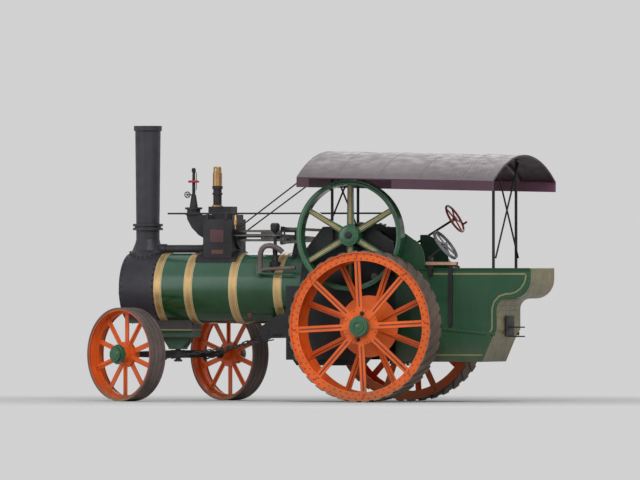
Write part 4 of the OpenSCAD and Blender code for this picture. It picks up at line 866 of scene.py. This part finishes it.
def tender_rivets(side, name):
    """Rivets along the back edge and along the strap."""
    pitch = 0.045
    rivets = Piece()
    edge = [Vector(p) for p in offset_line(TENDER_BACK, 0.024)]
    for a, b in zip(edge, edge[1:]):
        steps = max(1, round((b - a).length / pitch))
        for k in range(steps):
            p = a + (b - a) * k / steps
            if p.y < 1.62:
                rivets.rivet((p.x, side * TENDER_HALF, p.y), (0, side, 0), 0.0075)
    for i in range(18):
        at = (-1.545 + pitch * i, side * (TENDER_HALF + 0.010), 0.848 + 0.0044 * i)
        rivets.rivet(at, (0, side, 0), 0.007)
    rivets.done("tender_rivets_" + name, "tender", "frame")


def tender_back():
    """Ribs across the tank's back, and the round rim of the bunker above it."""
    ribs = Piece()
    for z in (1.185, 1.120, 1.050):
        ribs.box((-1.600, -0.425, z), (-1.589, 0.425, z + 0.014))
    ribs.tube([(-2.022, -0.438, 1.652), (-2.022, 0.438, 1.652)], 0.012)
    ribs.done("tender_back_ribs", "lining_olive", "frame", 0.002)


def brake_board():
    """The wooden skin on top of the brake's board and down its outer side."""
    board = Piece()
    board.box((-1.086, 0.4515, 1.7355), (-0.680, 0.5185, 1.7405))
    board.box((-1.0855, 0.5155, 1.7025), (-0.6805, 0.5185, 1.7375))
    board.done("brake_board_wood", "wood", "frame", 0.001)


for side, name in ((1, "left"), (-1, "right")):
    tender_lining(side, name)
    tender_strap(side, name)
    tender_rivets(side, name)
tender_back()
brake_board()


def dress_canopy():
    """Skins of the front board, seams of the canvas and bows below the roof, drawn along its slope."""
    slope = CHASSIS @ Matrix.Translation((0, 0, 2.652)) @ Matrix.Rotation(-math.radians(ROOF_SLOPE), 4, "Y")
    roof_half, roof_rise, board_h = 1.2, 0.33, 0.125
    roof_r = (roof_half ** 2 + roof_rise ** 2) / (2 * roof_rise)
    centre_z = board_h + roof_rise - roof_r
    half = math.degrees(math.asin(roof_half / roof_r))

    def arch(piece, x, profile, sides, short):
        """A hoop across the roof that ends short of the eaves, by an angle in degrees."""
        piece.hoop((x, 0, centre_z), FORWARD, profile, sides, 180 - half + short, 2 * (half - short))

    boards = Piece(slope)
    for back in (0.7790, 0.7545):
        boards.box((back, -1.172, 0.002), (back + 0.0025, 1.172, 0.110))
    boards.done("front_board_skins", "maroon", "frame", 0.001)

    seams = Piece(slope)
    seam = [(roof_r - 0.001, -0.006), (roof_r + 0.0016, -0.005), (roof_r + 0.0016, 0.005),
            (roof_r - 0.001, 0.006)]
    for x in (-1.792, -1.370, -0.823, -0.278, 0.270, 0.772):
        arch(seams, x, seam, 48, 0.4)
    seams.done("roof_seams", "canvas_seam", "frame")

    bows = Piece(slope)
    for x in (-1.35, -0.92, -0.50, -0.08, 0.34):
        arch(bows, x, band(roof_r - 0.062, roof_r - 0.022, -0.020, 0.020), 40, 2.2)
    bows.done("roof_bows", "panel_red", "frame", 0.003)


dress_canopy()


# Stage, light and camera, all in the frame's own coordinates
BACKDROP = (0.64, 0.64, 0.64, 1)


def seen_rays(tree):
    """1 for rays of the camera, mirrors and glass, 0 for the light that falls on the object."""
    path = tree.nodes.new("ShaderNodeLightPath")
    most = math_node(tree, "MAXIMUM", path.outputs["Is Camera Ray"], path.outputs["Is Glossy Ray"])
    return math_node(tree, "MAXIMUM", most, path.outputs["Is Transmission Ray"])


def blend_shaders(tree, fac, a, b, output):
    """Shows shader a where the factor is 0 and shader b where it is 1."""
    blend = tree.nodes.new("ShaderNodeMixShader")
    link(tree, fac, blend.inputs[0])
    link(tree, a.outputs[0], blend.inputs[1])
    link(tree, b.outputs[0], blend.inputs[2])
    link(tree, blend.outputs[0], tree.nodes[output].inputs["Surface"])


def floor_paint():
    """A pale floor that keeps the object's shadow and runs out evenly into the backdrop."""
    mat, tree, bsdf = new_material("floor_pale")
    fade_from, fade_to = 4.0, 9.0
    bsdf.inputs["Base Color"].default_value = (0.50, 0.50, 0.49, 1)
    bsdf.inputs["Roughness"].default_value = 1.0
    bsdf.inputs["Specular IOR Level"].default_value = 0.0
    place = split_of(tree, "ShaderNodeNewGeometry", "Position")
    squares = [math_node(tree, "MULTIPLY", place[axis], place[axis]) for axis in ("X", "Y")]
    away = math_node(tree, "POWER", math_node(tree, "ADD", *squares), 0.5)
    even = tree.nodes.new("ShaderNodeEmission")
    even.inputs["Color"].default_value = BACKDROP
    fade = math_node(tree, "MULTIPLY", ramp(tree, away, fade_from, fade_to), seen_rays(tree))
    blend_shaders(tree, fade, bsdf, even, "Material Output")
    return mat


def make_floor():
    """A floor just under the wheels, wide enough to pass for endless."""
    bpy.ops.mesh.primitive_plane_add(size=900, location=(0, 0, -0.001))
    floor = bpy.context.object
    floor.name = "floor"
    floor.data.materials.append(floor_paint())


def make_sky():
    """A soft sky that lights the object, and the plain backdrop where it is seen."""
    world = bpy.data.worlds.new("studio")
    bpy.context.scene.world = world
    world.use_nodes = True
    tree = world.node_tree
    sky = tree.nodes["Background"]
    up = split_of(tree, "ShaderNodeTexCoord", "Generated")["Z"]
    col = mix(tree, ramp(tree, up, -0.1, 0.7), (0.60, 0.62, 0.64), (0.95, 0.98, 1.0))
    link(tree, col, sky.inputs["Color"])
    sky.inputs["Strength"].default_value = 0.72
    even = tree.nodes.new("ShaderNodeBackground")
    even.inputs["Color"].default_value = BACKDROP
    blend_shaders(tree, seen_rays(tree), sky, even, "World Output")


def make_lamps():
    """Three large lamps, aimed at the middle of the engine."""
    lamp_size, aim = 9.0, Vector((0, 0, 1.3))
    for name, at, power in (("key", (-6.0, 11.0, 11.0), 1300), ("fill", (9.0, 9.0, 5.0), 330),
                            ("back", (2.0, -11.0, 9.0), 420)):
        lamp = bpy.data.lights.new(name, "AREA")
        lamp.size = lamp_size
        lamp.energy = power
        obj = bpy.data.objects.new(name, lamp)
        obj.location = at
        obj.rotation_euler = (aim - Vector(at)).to_track_quat("-Z", "Y").to_euler()
        bpy.context.scene.collection.objects.link(obj)


def make_camera():
    """The photo's view: from 20 degrees ahead of the left side, from afar, near half height."""
    sensor_mm, image_px, px_per_m, raised_px = 36, 640, 80.0, 30
    distance, azimuth = 150.0, math.radians(20)
    middle = Vector((REAR_AXLE[0] + 0.904, 0, 1.64))
    camera = bpy.data.cameras.new("camera")
    camera.sensor_width = sensor_mm
    camera.lens = distance * px_per_m * sensor_mm / image_px
    camera.shift_y = raised_px / image_px
    camera.clip_end = 10 * distance
    eye = bpy.data.objects.new("camera", camera)
    eye.location = middle + Vector((-math.sin(azimuth), math.cos(azimuth), 0)) * distance
    eye.rotation_euler = (middle - eye.location).to_track_quat("-Z", "Y").to_euler()
    bpy.context.scene.collection.objects.link(eye)
    bpy.context.scene.camera = eye


make_floor()
make_sky()
make_lamps()
make_camera()
bpy.context.scene.view_settings.view_transform = "Standard"
